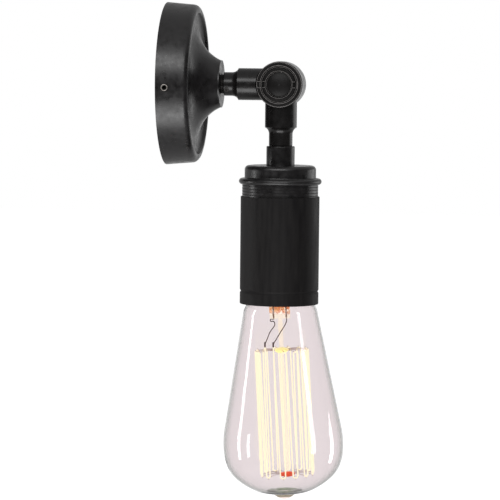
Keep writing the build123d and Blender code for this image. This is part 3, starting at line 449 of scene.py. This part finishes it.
stem_tint = add(stem, "ShaderNodeMix", {
    "Factor": blotch.outputs["Result"], "A": colour("#fcf8ea"), "B": colour("#cf6216")}, data_type="RGBA")
stem.links.new(stem_tint.outputs["Result"], stem.nodes["Principled BSDF"].inputs["Base Color"])

# %% Painted glow on wires and beads, and pale steel at edges
# The sealed wires and the beads are given a painted glow, the filament's light on them.
lit_copper = glowing("copper_lit_by_filament", "#5a2410", "#9a3c12", 0.2)
# Pale steel for thin lines on the clamp screw's edges, where it paints highlights.
painted_highlight_steel = finish("pale_steel_painted_highlight", "#8e8a88", {"Metallic": 0.4}, spots="#747170",
                   spot_size=6.0, roughness=(0.45, 0.55))
# Pale steel for a ring that draws the bright outline round each canopy screw's socket.
bright_rim = finish("pale_steel_at_a_socket_rim", "#c4beb8", {"Metallic": 0.3}, spots="#8f8983", spot_size=1.6,
                    roughness=(0.3, 0.4))
hot_carbon = glowing("glowing_carbon_filament", "#4a3820", "#fff7d4", 1.22)
bead_in_warm_glow = glowing("bead_lit_by_filament", "#f2e89c", "#fff2a4", 0.7)
bead_in_red_glow = glowing("lower_bead_lit_red", "#c83c10", "#f04c14", 0.5)
support_wire = finish("molybdenum_support_wire", "#b06a34", spots="#80481f", spot_size=0.5)
lead_metal = finish("oxidised_nickel_lead", "#3c1c14", {"Specular IOR Level": 0.1}, spots="#5c2a1c",
                    spot_size=0.6)

# %% [markdown]
# ## Finishes on the construction
#
# Every carried-over piece gets its finish by name. The pieces themselves stay as they are.

# %% Give each piece its finish
FINISHES = {
    spun_black: ["canopy", "holder_cap", "entry_bush"],
    drawn_black: ["holder_sleeve"],
    cast_black: ["upper_knuckle", "lower_knuckle", "clamp_nut"],
    turned_black: ["clamp_screw"],
    black_steel: ["canopy_side_screws", "canopy_tube", "holder_tube", "neck_set_screw"],
    zinc: ["mounting_bracket", "lock_washer", "locknut", "terminal_clamp_screws",
           "block_fixing_screw", "wave_washer", "holder_terminal_screws"],
    brass: ["earth_screw", "terminal_clamps", "holder_terminals"],
    tinned: ["earth_tag", "earth_ring_terminal", "centre_contact"],
    nickel: ["screw_shell", "bulb_cap"],
    solder: ["bulb_contact"],
    copper: ["lead_wires"],
    nylon: ["terminal_block"],
    porcelain: ["ceramic_insert"],
    fibre: ["friction_washer"],
    brown_pvc: ["live_core_upper", "live_core_lower"],
    blue_pvc: ["neutral_core_upper", "neutral_core_lower"],
    green_pvc: ["earth_lead"],
    vitrite: ["bulb_insulator"],
    bulb_glass: ["bulb_glass"],
    stem_glass: ["glass_stem"],
    hot_carbon: ["filament"],
    bead_in_warm_glow: ["upper_supports"],
    bead_in_red_glow: ["lower_supports"],
}
for material, names in FINISHES.items():
    for name in names:
        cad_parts[name].material_slots[0].material = material
finished = {name for names in FINISHES.values() for name in names}
print("without a finish:", sorted(set(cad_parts) - finished))

# %% [markdown]
# ## Growing pieces with geometry trees
#
# Threads, the zigzag filament and its supports follow rules, so each comes from a geometry tree with named
# sizes. A short function runs a tree, keeps the result as a plain mesh and lets it ride on a body.


# %% Geometry tree helpers
def new_tree(name, sizes):
    """An empty geometry tree with named inputs, and the sockets that hand those inputs out."""
    tree = bpy.data.node_groups.new(name, "GeometryNodeTree")
    tree.interface.new_socket("Geometry", in_out="OUTPUT", socket_type="NodeSocketGeometry")
    for label, value in sizes.items():
        kind = "NodeSocketInt" if isinstance(value, int) else "NodeSocketFloat"
        tree.interface.new_socket(label, in_out="INPUT", socket_type=kind).default_value = value
    tree.interface.new_socket("Finish", in_out="INPUT", socket_type="NodeSocketMaterial")
    return tree, add(tree, "NodeGroupInput").outputs


def close_tree(tree, geometry, material):
    """Ends a tree: smooth, one plain mesh, one finish."""
    smooth = add(tree, "GeometryNodeSetShadeSmooth", {"Geometry": geometry}).outputs[0]
    single = add(tree, "GeometryNodeRealizeInstances", {"Geometry": smooth}).outputs[0]
    finished = add(tree, "GeometryNodeSetMaterial", {"Geometry": single, "Material": material}).outputs[0]
    add(tree, "NodeGroupOutput", {"Geometry": finished})


def maths(tree, operation, *values):
    """A number worked out from other numbers or sockets."""
    return add(tree, "ShaderNodeMath", dict(enumerate(values)), operation=operation).outputs[0]


def ramp(tree, value, start, end, low, high):
    """Goes from low to high while a value goes from start to end, and stays level outside them."""
    return add(tree, "ShaderNodeMapRange", {
        "Value": value, "From Min": start, "From Max": end, "To Min": low, "To Max": high}).outputs["Result"]


def swept(tree, path, radius, sides=8):
    """A path as a round wire."""
    section = add(tree, "GeometryNodeCurvePrimitiveCircle", {
        "Resolution": sides, "Radius": radius}).outputs[0]
    return add(tree, "GeometryNodeCurveToMesh", {
        "Curve": path, "Profile Curve": section, "Fill Caps": True}).outputs[0]


def grow(name, tree, body, material, sizes, place):
    """Runs a tree with sizes in millimetres and keeps the result as a plain mesh in its place."""
    piece = bpy.data.objects.new(name, bpy.data.meshes.new(name))
    scene.collection.objects.link(piece)
    growth = piece.modifiers.new("growth", "NODES")
    growth.node_group = tree
    sockets = {item.name: item.identifier for item in tree.interface.items_tree if item.in_out == "INPUT"}
    for label, value in {**sizes, "Finish": material}.items():
        growth[sockets[label]] = value
    bpy.context.view_layer.update()
    mesh = bpy.data.meshes.new_from_object(piece.evaluated_get(bpy.context.evaluated_depsgraph_get()))
    piece.modifiers.remove(growth)
    mesh.name = name
    mesh.transform(place @ Matrix.Scale(MM, 4))
    piece.data = mesh
    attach(piece, body)
    print(name, "rides", body, "with", len(mesh.polygons), "faces")
    return piece


# %% [markdown]
# ## Places on the light
#
# The hinge of the knuckle is 60.6 mm in front of the wall. Below it everything follows the drop arm's axis,
# and the glass and its mount each lean out a little, as they were sealed a little crooked.

# %% Places
HINGE_DEPTH = 60.6
GLASS_LEAN, GLASS_PIVOT = radians(1.9), 99.0
MOUNT_LEAN, MOUNT_PIVOT = radians(3.3), 112.0
on_arm = Matrix.Translation((0, -HINGE_DEPTH * MM, 0))


def leaning(angle, pivot):
    """Below the hinge, tipped out from the wall about a point on the axis."""
    down = Matrix.Translation((0, 0, -pivot * MM))
    return on_arm @ down @ Matrix.Rotation(-angle, 4, "X") @ down.inverted()


on_glass = leaning(GLASS_LEAN, GLASS_PIVOT)
on_mount = leaning(MOUNT_LEAN, MOUNT_PIVOT)

# %% [markdown]
# ## Screw threads
#
# A raised thread is a spiral with a round section. It shows on the tube between the canopy and the knuckle,
# and on the skirt that the long sleeve screws onto.

# %% Raised thread
thread_tree, size = new_tree("raised_thread", {"Radius": 5.0, "Length": 2.0, "Pitch": 1.0, "Ridge": 0.2})
spiral = add(thread_tree, "GeometryNodeCurveSpiral", {
    "Resolution": 72, "Rotations": maths(thread_tree, "DIVIDE", size["Length"], size["Pitch"]),
    "Start Radius": size["Radius"], "End Radius": size["Radius"], "Height": size["Length"]}).outputs[0]
close_tree(thread_tree, swept(thread_tree, spiral, size["Ridge"], 6), size["Finish"])

along_wall_axis = Matrix.Rotation(radians(90), 4, "X")
TUBE_RADIUS = 4.95
GAP_FROM_WALL = 28.95
thread_gap = Matrix.Translation((0, -GAP_FROM_WALL * MM, 0)) @ along_wall_axis
grow("tube_thread", thread_tree, "wall_fitting", black_steel,
     {"Radius": TUBE_RADIUS, "Length": 1.2, "Pitch": 0.6, "Ridge": 0.15}, thread_gap)

SKIRT_RADIUS = 20.1
SKIRT_TOP, SLEEVE_TOP = 52.9, 59.1
SUNK_IN = 0.08
MARGIN = 0.1  # left bare above and below the thread
grow("skirt_thread", thread_tree, "lamp_arm", drawn_black,
     {"Radius": SKIRT_RADIUS - SUNK_IN, "Length": SLEEVE_TOP - SKIRT_TOP - 2 * MARGIN, "Pitch": 1.55,
      "Ridge": 0.2}, on_arm @ Matrix.Translation((0, 0, (MARGIN - SLEEVE_TOP) * MM)))

# %% [markdown]
# ## The bulb's cap and the shell that it screws into
#
# Both are thin metal rolled into the same rounded thread. One tree wraps a grid round the axis. The grid's
# long side runs from a narrow mouth, over a flat shoulder and down the side, where the radius rises and
# falls.

# %% Rolled thread
rolled_tree, size = new_tree("rolled_thread", {
    "Mouth Radius": 10.5, "Radius": 12.7, "Skirt Step": 0.6, "Top": 83.0, "Bottom": 105.0,
    "Thread Top": 84.0, "Thread Bottom": 99.0, "Pitch": 3.62, "Depth": 0.45})
AROUND, ALONG = 97, 120
SHOULDER_SHARE = 0.08
RUN_OUT, STEP_LENGTH = 1.2, 2.0
SEAM = 0.01
grid = add(rolled_tree, "GeometryNodeMeshGrid", {
    "Size X": 1.0, "Size Y": 1.0, "Vertices X": AROUND, "Vertices Y": ALONG}).outputs["Mesh"]
spot = add(rolled_tree, "ShaderNodeSeparateXYZ", {
    "Vector": add(rolled_tree, "GeometryNodeInputPosition").outputs[0]}).outputs
share = maths(rolled_tree, "ADD", spot["Y"], 0.5)
angle = maths(rolled_tree, "MULTIPLY", spot["X"], 2 * pi)
below = ramp(rolled_tree, share, SHOULDER_SHARE, 1.0, size["Top"], size["Bottom"])
shoulder = ramp(rolled_tree, share, 0.0, SHOULDER_SHARE, size["Mouth Radius"], size["Radius"])
thread_start = maths(rolled_tree, "ADD", size["Thread Top"], RUN_OUT)
thread_end = maths(rolled_tree, "SUBTRACT", size["Thread Bottom"], RUN_OUT)
rise = ramp(rolled_tree, below, size["Thread Top"], thread_start, 0.0, 1.0)
fall = ramp(rolled_tree, below, thread_end, size["Thread Bottom"], 1.0, 0.0)
step_end = maths(rolled_tree, "ADD", size["Thread Bottom"], STEP_LENGTH)
skirt = ramp(rolled_tree, below, size["Thread Bottom"], step_end, 0.0, size["Skirt Step"])
turns = maths(rolled_tree, "DIVIDE", below, size["Pitch"])
turned_by = maths(rolled_tree, "MULTIPLY", turns, 2 * pi)
wave = maths(rolled_tree, "SINE", maths(rolled_tree, "ADD", turned_by, angle))
depth = maths(rolled_tree, "MULTIPLY", maths(rolled_tree, "MULTIPLY", rise, fall), size["Depth"])
ridge = maths(rolled_tree, "MULTIPLY", wave, depth)
radius = maths(rolled_tree, "ADD", maths(rolled_tree, "ADD", shoulder, skirt), ridge)
wrapped = add(rolled_tree, "ShaderNodeCombineXYZ", {
    "X": maths(rolled_tree, "MULTIPLY", radius, maths(rolled_tree, "COSINE", angle)),
    "Y": maths(rolled_tree, "MULTIPLY", radius, maths(rolled_tree, "SINE", angle)),
    "Z": maths(rolled_tree, "MULTIPLY", below, -1.0)}).outputs[0]
tube = add(rolled_tree, "GeometryNodeSetPosition", {"Geometry": grid, "Position": wrapped}).outputs[0]
seamless = add(rolled_tree, "GeometryNodeMergeByDistance", {"Geometry": tube, "Distance": SEAM}).outputs[0]
close_tree(rolled_tree, seamless, size["Finish"])


def rolled(name, body, wall, sizes):
    """A rolled cup with a wall that grows inwards from the given surface."""
    cup = grow(name, rolled_tree, body, nickel, sizes, on_arm)
    thickness = cup.modifiers.new("wall", "SOLIDIFY")
    thickness.thickness = wall * MM
    thickness.offset = -1.0
    return cup


cap = rolled("threaded_bulb_cap", "bulb", 0.35, {
    "Mouth Radius": 10.4, "Radius": 12.65, "Skirt Step": 0.65, "Top": 83.0, "Bottom": 105.2,
    "Thread Top": 83.8, "Thread Bottom": 99.6, "Depth": 0.44})
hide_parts("bulb_cap")
shell = rolled("threaded_shell", "lamp_arm", 0.14, {
    "Mouth Radius": 8.0, "Radius": 13.5, "Skirt Step": 0.0, "Top": 76.7, "Bottom": 100.8,
    "Thread Top": 77.5, "Thread Bottom": 99.6, "Depth": 0.16})
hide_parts("screw_shell")

# %% [markdown]
# ## The filament
#
# One long carbon wire hangs in thirteen loops between the upper supports and the lower ones. Each turn goes
# over a support's hook, so a corner of the zigzag is two points side by side, and a fillet makes them a small
# U. The wire is drawn thicker than a real one, because a glowing wire dazzles and looks thick.

# %% Filament
LOOPS = 13
GAP = 9.3  # degrees left open between the wire's two ends
FIRST_ANGLE = 73.8
WIRE_RADIUS = 0.37
TURN = (360 - GAP) / (2 * LOOPS)
TOP_RADIUS, BOTTOM_RADIUS = 14.1, 14.2
UPPER_HUB, LOWER_HUB = 141.0, 207.7
FEED_RISE = 4.0
HALF_U = 1.3
wire_tree, size = new_tree("zigzag_wire", {
    "Loops": LOOPS, "First Angle": 0.0, "Turn": 0.3, "Top Radius": TOP_RADIUS, "Bottom Radius": BOTTOM_RADIUS,
    "Top": UPPER_HUB, "Bottom": LOWER_HUB, "Half U": HALF_U, "Wire": WIRE_RADIUS,
    "Feed Rise": FEED_RISE})
point_count = maths(wire_tree, "MULTIPLY", size["Loops"], 4)
points = add(wire_tree, "GeometryNodeMeshLine", {"Count": point_count}).outputs[0]
index = add(wire_tree, "GeometryNodeInputIndex").outputs[0]
step = maths(wire_tree, "FLOOR", maths(wire_tree, "MULTIPLY", maths(wire_tree, "ADD", index, 1), 0.5))
lower = maths(wire_tree, "MODULO", step, 2)
reach = ramp(wire_tree, lower, 0, 1, size["Top Radius"], size["Bottom Radius"])
drop = ramp(wire_tree, lower, 0, 1, size["Top"], size["Bottom"])
from_last = maths(wire_tree, "SUBTRACT", maths(wire_tree, "SUBTRACT", point_count, 1), index)
from_ends = maths(wire_tree, "MINIMUM", index, from_last)
is_end = maths(wire_tree, "LESS_THAN", from_ends, 0.5)
drop = maths(wire_tree, "SUBTRACT", drop, maths(wire_tree, "MULTIPLY", is_end, size["Feed Rise"]))
side = maths(wire_tree, "SUBTRACT", 1, maths(wire_tree, "MULTIPLY", maths(wire_tree, "MODULO", index, 2), 2))
spread = maths(wire_tree, "MULTIPLY", side, maths(wire_tree, "DIVIDE", size["Half U"], reach))
heading = maths(wire_tree, "ADD", size["First Angle"], maths(wire_tree, "MULTIPLY", step, size["Turn"]))
heading = maths(wire_tree, "ADD", heading, spread)
outward = maths(wire_tree, "MULTIPLY", reach, maths(wire_tree, "SINE", heading))
corner = add(wire_tree, "ShaderNodeCombineXYZ", {
    "X": maths(wire_tree, "MULTIPLY", outward, -1),
    "Y": maths(wire_tree, "MULTIPLY", reach, maths(wire_tree, "COSINE", heading)),
    "Z": maths(wire_tree, "MULTIPLY", drop, -1)}).outputs[0]
zigzag = add(wire_tree, "GeometryNodeSetPosition", {"Geometry": points, "Position": corner}).outputs[0]
path_of_wire = add(wire_tree, "GeometryNodeMeshToCurve", {"Mesh": zigzag}).outputs[0]
rounded = add(wire_tree, "GeometryNodeFilletCurve", {
    "Curve": path_of_wire, "Radius": size["Half U"], "Count": 6, "Limit Radius": True,
}, mode="POLY").outputs[0]
close_tree(wire_tree, swept(wire_tree, rounded, size["Wire"], 8), size["Finish"])
filament = grow("filament_wire", wire_tree, "bulb", hot_carbon, {
    "Loops": LOOPS, "First Angle": radians(FIRST_ANGLE), "Turn": radians(TURN)}, on_mount)
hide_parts("filament")

# %% [markdown]
# ## Beads and their fine arms
#
# A glass bead is melted round the rod at each end of the cage. Fine molybdenum arms fan out of it, rise in a
# shallow arc and end in a hook under or over the filament's bend.

# %% Supports
HOOK = 0.9
HOOK_INSET = 0.4  # how far short of the filament's bend an arm stops
fan_tree, size = new_tree("support_fan", {
    "Arms": LOOPS, "First Angle": 0.0, "Step": 0.6, "Reach": 12.0, "Rise": 1.5, "Hook": HOOK, "Wire": 0.11,
    "Bead Radius": 3.6, "Flatness": 0.42, "Height": UPPER_HUB})
fan_tree.interface.new_socket("Bead Finish", in_out="INPUT", socket_type="NodeSocketMaterial")
bead_finish = next(node for node in fan_tree.nodes if node.type == "GROUP_INPUT").outputs["Bead Finish"]
tip = add(fan_tree, "ShaderNodeCombineXYZ", {"X": size["Reach"]}).outputs[0]
early = add(fan_tree, "ShaderNodeCombineXYZ", {
    "X": maths(fan_tree, "MULTIPLY", size["Reach"], 0.35), "Z": size["Rise"]}).outputs[0]
late = add(fan_tree, "ShaderNodeCombineXYZ", {
    "X": maths(fan_tree, "MULTIPLY", size["Reach"], 0.75), "Z": size["Rise"]}).outputs[0]
arm = add(fan_tree, "GeometryNodeCurvePrimitiveBezierSegment", {
    "Resolution": 10, "Start Handle": early, "End Handle": late, "End": tip}).outputs[0]
hook_end = add(fan_tree, "ShaderNodeCombineXYZ", {
    "X": maths(fan_tree, "ADD", size["Reach"], 0.3), "Z": size["Hook"]}).outputs[0]
hook = add(fan_tree, "GeometryNodeCurvePrimitiveLine", {"Start": tip, "End": hook_end}).outputs[0]
bent = add(fan_tree, "GeometryNodeJoinGeometry").inputs[0]
fan_tree.links.new(arm, bent)
fan_tree.links.new(hook, bent)
one_arm = swept(fan_tree, bent.node.outputs[0], size["Wire"], 6)
spokes = add(fan_tree, "GeometryNodePoints", {"Count": size["Arms"]}).outputs[0]
order = add(fan_tree, "GeometryNodeInputIndex").outputs[0]
bearing = maths(fan_tree, "ADD", size["First Angle"], maths(fan_tree, "MULTIPLY", order, size["Step"]))
bearing = add(fan_tree, "ShaderNodeCombineXYZ", {"Z": bearing}).outputs[0]
fan = add(fan_tree, "GeometryNodeInstanceOnPoints", {
    "Points": spokes, "Instance": one_arm, "Rotation": bearing}).outputs[0]
ball = add(fan_tree, "GeometryNodeMeshUVSphere", {
    "Segments": 32, "Rings": 16, "Radius": size["Bead Radius"]}).outputs[0]
flat = add(fan_tree, "ShaderNodeCombineXYZ", {"X": 1.0, "Y": 1.0, "Z": size["Flatness"]}).outputs[0]
bead = add(fan_tree, "GeometryNodeTransform", {"Geometry": ball, "Scale": flat}).outputs[0]
both = add(fan_tree, "GeometryNodeJoinGeometry").inputs[0]
fan_tree.links.new(fan, both)
fan_tree.links.new(bead, both)
hub_place = add(fan_tree, "ShaderNodeCombineXYZ", {
    "Z": maths(fan_tree, "MULTIPLY", size["Height"], -1)}).outputs[0]
moved = add(fan_tree, "GeometryNodeTransform", {
    "Geometry": both.node.outputs[0], "Translation": hub_place}).outputs[0]
smooth = add(fan_tree, "GeometryNodeSetShadeSmooth", {"Geometry": moved}).outputs[0]
single = add(fan_tree, "GeometryNodeRealizeInstances", {"Geometry": smooth}).outputs[0]
wired = add(fan_tree, "GeometryNodeSetMaterial", {"Geometry": single, "Material": size["Finish"]}).outputs[0]
from_axis = add(fan_tree, "ShaderNodeVectorMath", {
    0: add(fan_tree, "GeometryNodeInputPosition").outputs[0], 1: (1, 1, 0)}, operation="MULTIPLY").outputs[0]
from_axis = add(fan_tree, "ShaderNodeVectorMath", {0: from_axis}, operation="LENGTH").outputs["Value"]
in_bead = add(fan_tree, "FunctionNodeCompare", {
    "A": from_axis, "B": maths(fan_tree, "ADD", size["Bead Radius"], 0.01)}, operation="LESS_THAN").outputs[0]
finished_fan = add(fan_tree, "GeometryNodeSetMaterial", {
    "Geometry": wired, "Selection": in_bead, "Material": bead_finish}).outputs[0]
add(fan_tree, "NodeGroupOutput", {"Geometry": finished_fan})
SPOKE = radians(2 * TURN)
QUARTER = radians(90)
upper_fan = grow("upper_support_fan", fan_tree, "bulb", support_wire, {
    "Arms": LOOPS - 1, "First Angle": QUARTER + radians(FIRST_ANGLE) + SPOKE, "Step": SPOKE,
    "Reach": TOP_RADIUS - HOOK_INSET, "Rise": 0.5, "Height": UPPER_HUB, "Bead Finish": bead_in_warm_glow}, on_mount)
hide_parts("upper_supports")
lower_fan = grow("lower_support_fan", fan_tree, "bulb", support_wire, {
    "Arms": LOOPS, "First Angle": QUARTER + radians(FIRST_ANGLE) + SPOKE / 2, "Step": SPOKE,
    "Reach": BOTTOM_RADIUS - HOOK_INSET, "Rise": 1.2, "Hook": -HOOK, "Height": LOWER_HUB,
    "Bead Radius": 3.9, "Flatness": 0.34, "Bead Finish": bead_in_red_glow}, on_mount)
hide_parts("lower_supports")

# %% [markdown]
# ## Lead wires
#
# Two stiff wires come out of the flat pinch, bend once and carry the filament's ends in small crimps. One
# has a small kink below the pinch. Their upper ends are sealed in its glass, where they shine like copper.


# %% Lead wires
def wire(name, body, material, points, radius, place):
    """A smooth round wire through points in millimetres."""
    line = bpy.data.curves.new(name, "CURVE")
    line.dimensions = "3D"
    line.bevel_depth = radius
    line.bevel_resolution = 3
    line.use_fill_caps = True
    spline = line.splines.new("BEZIER")
    spline.bezier_points.add(len(points) - 1)
    for knot, point in zip(spline.bezier_points, points):
        knot.co = point
        knot.handle_left_type = knot.handle_right_type = "AUTO"
    holder = bpy.data.objects.new(name, line)
    mesh = bpy.data.meshes.new_from_object(holder)
    bpy.data.objects.remove(holder)
    mesh.transform(place @ Matrix.Scale(MM, 4))
    mesh.materials.append(material)
    piece = bpy.data.objects.new(name, mesh)
    scene.collection.objects.link(piece)
    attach(piece, body)
    return piece


def cage_corner(steps, shift):
    """An end of the filament, turned from the wall side towards the camera."""
    turned_to = radians(FIRST_ANGLE + steps * TURN) + shift / TOP_RADIUS
    return Vector((-TOP_RADIUS * sin(turned_to), TOP_RADIUS * cos(turned_to), FEED_RISE - UPPER_HUB))


LEAD_SPREAD = 6.8
PINCH_BOTTOM = 124.0
LEAD_BEND = PINCH_BOTTOM + 1.5
LEAD_RADIUS, SEALED_RADIUS, CRIMP_RADIUS = 0.24, 0.45, 0.42
WIRE_ENDS = (("first", 0, HALF_U, -LEAD_SPREAD / 2), ("last", 2 * LOOPS, -HALF_U, LEAD_SPREAD / 2))
for label, steps, shift, out in WIRE_ENDS:
    end = cage_corner(steps, shift)
    bend = Vector((-0.6, out, -LEAD_BEND))
    above = Vector((0, out, 0.4 - PINCH_BOTTOM))
    kink = [above + Vector((-0.4, 1.5, -0.7)), above + Vector((-0.8, 1.7, -1.7))] if out > 0 else []
    lead = wire(f"{label}_lead", "bulb", lead_metal, [
        above, above + Vector((0, 0, -0.6)), *kink, bend, bend.lerp(end, 0.5), end + Vector((0.6, 0, 0.6))],
        LEAD_RADIUS, on_mount)
    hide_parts("lead_wires")
    seal = wire(f"{label}_sealed_wire", "bulb", lit_copper, [
        above, above + Vector((0, 0, 3.6)), above + Vector((0, 0, 7.4))], SEALED_RADIUS, on_mount)
    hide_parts("lead_wires")
    wire(f"{label}_crimp", "bulb", lead_metal, [
        end + Vector((0.5, 0, 1.6)), end + Vector((0.1, 0, 0.4)), end + Vector((0, 0, -1.0))],
        CRIMP_RADIUS, on_mount)
print("leads spread in mm:", LEAD_SPREAD)

# %% [markdown]
# ## The glass at the bottom of the bulb
#
# Where the bulb was melted shut its glass is thick. Seen edge-on that glass is an olive green band, and below
# it hangs a small cone. Both are outlines turned round the bulb's axis.


# %% Seal and tip
def turned(name, body, material, outline, place, closed=False, steps=72):
    """An outline of radius and height in millimetres turned into a solid round the axis."""
    form = bmesh.new()
    points = [form.verts.new((radius, 0, height)) for radius, height in outline]
    lines = [form.edges.new(pair) for pair in zip(points, points[1:])]
    if closed:
        lines.append(form.edges.new((points[-1], points[0])))
    bmesh.ops.spin(form, geom=points + lines, cent=(0, 0, 0), axis=(0, 0, 1), angle=2 * pi, steps=steps)
    bmesh.ops.remove_doubles(form, verts=form.verts, dist=0.001)
    bmesh.ops.recalc_face_normals(form, faces=form.faces)
    for face in form.faces:
        face.smooth = True
    mesh = bpy.data.meshes.new(name)
    form.to_mesh(mesh)
    form.free()
    mesh.transform(place @ Matrix.Scale(MM, 4))
    mesh.materials.append(material)
    piece = bpy.data.objects.new(name, mesh)
    scene.collection.objects.link(piece)
    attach(piece, body)
    return piece


SEAL_RADIUS, SEAL_HEIGHT = 6.4, -215.9
SEAL_HALF_WIDTH, SEAL_HALF_THICKNESS = 3.2, 0.55
SEAL_SIDES = 16
around_seal = [2 * pi * step / SEAL_SIDES for step in range(SEAL_SIDES)]
seal_outline = [
    (SEAL_RADIUS + SEAL_HALF_WIDTH * cos(a), SEAL_HEIGHT + SEAL_HALF_THICKNESS * sin(a)) for a in around_seal]
turned("thick_seal_ring", "bulb", seal_glass, seal_outline, on_glass, closed=True)
tip_outline = [
    (0, -217.9), (6.3, -217.75), (5.6, -218.3), (4.3, -219.2), (3.2, -219.9), (1.8, -220.35), (0, -220.5)]
turned("drawn_glass_tip", "bulb", tip_glass, tip_outline, on_glass)
print("tip ends in mm:", tip_outline[-1][1])

# %% [markdown]
# ## Painted highlights on the knuckle's cap
#
# The clamp screw's face is turned in steps. Their edges carry painted highlights: pale steel that shows
# as thin bright rings, and as two lines along the screwdriver slot. Each is a fine wire let into its edge.

# %% Edge rings and slot lines
ring_tree, size = new_tree("edge_ring", {"Radius": 9.0, "Height": 3.0, "Ridge": 0.1})
hoop = add(ring_tree, "GeometryNodeCurvePrimitiveCircle", {
    "Resolution": 96, "Radius": size["Radius"]}).outputs[0]
hoop_place = add(ring_tree, "ShaderNodeCombineXYZ", {"Z": size["Height"]}).outputs[0]
hoop = add(ring_tree, "GeometryNodeTransform", {
    "Geometry": swept(ring_tree, hoop, size["Ridge"], 8), "Translation": hoop_place}).outputs[0]
close_tree(ring_tree, hoop, size["Finish"])

DOME_HEIGHT = 3.6
cap_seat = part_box("clamp_screw")[0].x / MM + DOME_HEIGHT
to_camera_side = Matrix.Rotation(radians(-90), 4, "Y")
on_cap = on_arm @ Matrix.Translation((cap_seat * MM, 0, 0)) @ to_camera_side
FLANGE_HEIGHT, RING_HEIGHT = 2.5, 3.4
HIGHLIGHT_RINGS = (  # name, radius, height over the seat, and half the width of the painted highlight
    ("flange", 11.75, 2.2, 0.18), ("groove", 10.0, FLANGE_HEIGHT, 0.14),
    ("ring_foot", 9.3, FLANGE_HEIGHT, 0.1), ("moat", 7.2, RING_HEIGHT, 0.1), ("dome", 6.6, 2.2, 0.08),
)
for label, radius, height, ridge in HIGHLIGHT_RINGS:
    grow(f"worn_{label}_edge", ring_tree, "clamp_screw", painted_highlight_steel, {
        "Radius": radius, "Height": height, "Ridge": ridge}, on_cap)

SLOT_HALF_WIDTH = 1.55
SLOT_BLIND_END = -9.7
HIGHLIGHT_LINE = 0.1
SLOT_EDGES = (  # name, height over the seat, and where the painted highlight line starts and ends
    ("wall", FLANGE_HEIGHT, 11.6, 9.5), ("near", RING_HEIGHT, 8.5, 7.3), ("far", RING_HEIGHT, -7.3, -8.5),
    ("blind", FLANGE_HEIGHT, -9.3, SLOT_BLIND_END),
)
for side in (-1, 1):
    z = side * SLOT_HALF_WIDTH
    for label, height, start, end in SLOT_EDGES:
        x = cap_seat - height
        wire(f"highlit_slot_edge_{label}_{'upper' if side > 0 else 'lower'}", "clamp_screw", painted_highlight_steel,
             [(x, start, z), (x, end, z)], HIGHLIGHT_LINE, on_arm)
x = cap_seat - FLANGE_HEIGHT
wire("highlit_slot_end", "clamp_screw", painted_highlight_steel,
     [(x, SLOT_BLIND_END, -SLOT_HALF_WIDTH), (x, SLOT_BLIND_END, SLOT_HALF_WIDTH)], HIGHLIGHT_LINE, on_arm)

# %% [markdown]
# ## Rims of the canopy's side screws
#
# The two socket screws that hold the canopy are black inside. A pale steel ring at the rim of each socket
# draws its bright outline.

# %% Bright socket rims
SOCKET_RIM, RIM_RIDGE = 1.55, 0.28
SCREW_OUT, SCREW_FROM_WALL, SCREW_LOW = 42.5, 4.8, 1.8
for label, side in (("near", -1), ("far", 1)):
    on_screw = Matrix.Translation(
        (side * SCREW_OUT * MM, -SCREW_FROM_WALL * MM, -SCREW_LOW * MM)) @ to_camera_side
    grow(f"{label}_screw_rim", ring_tree, "wall_fitting", bright_rim, {
        "Radius": SOCKET_RIM, "Height": 0.0, "Ridge": RIM_RIDGE}, on_screw)
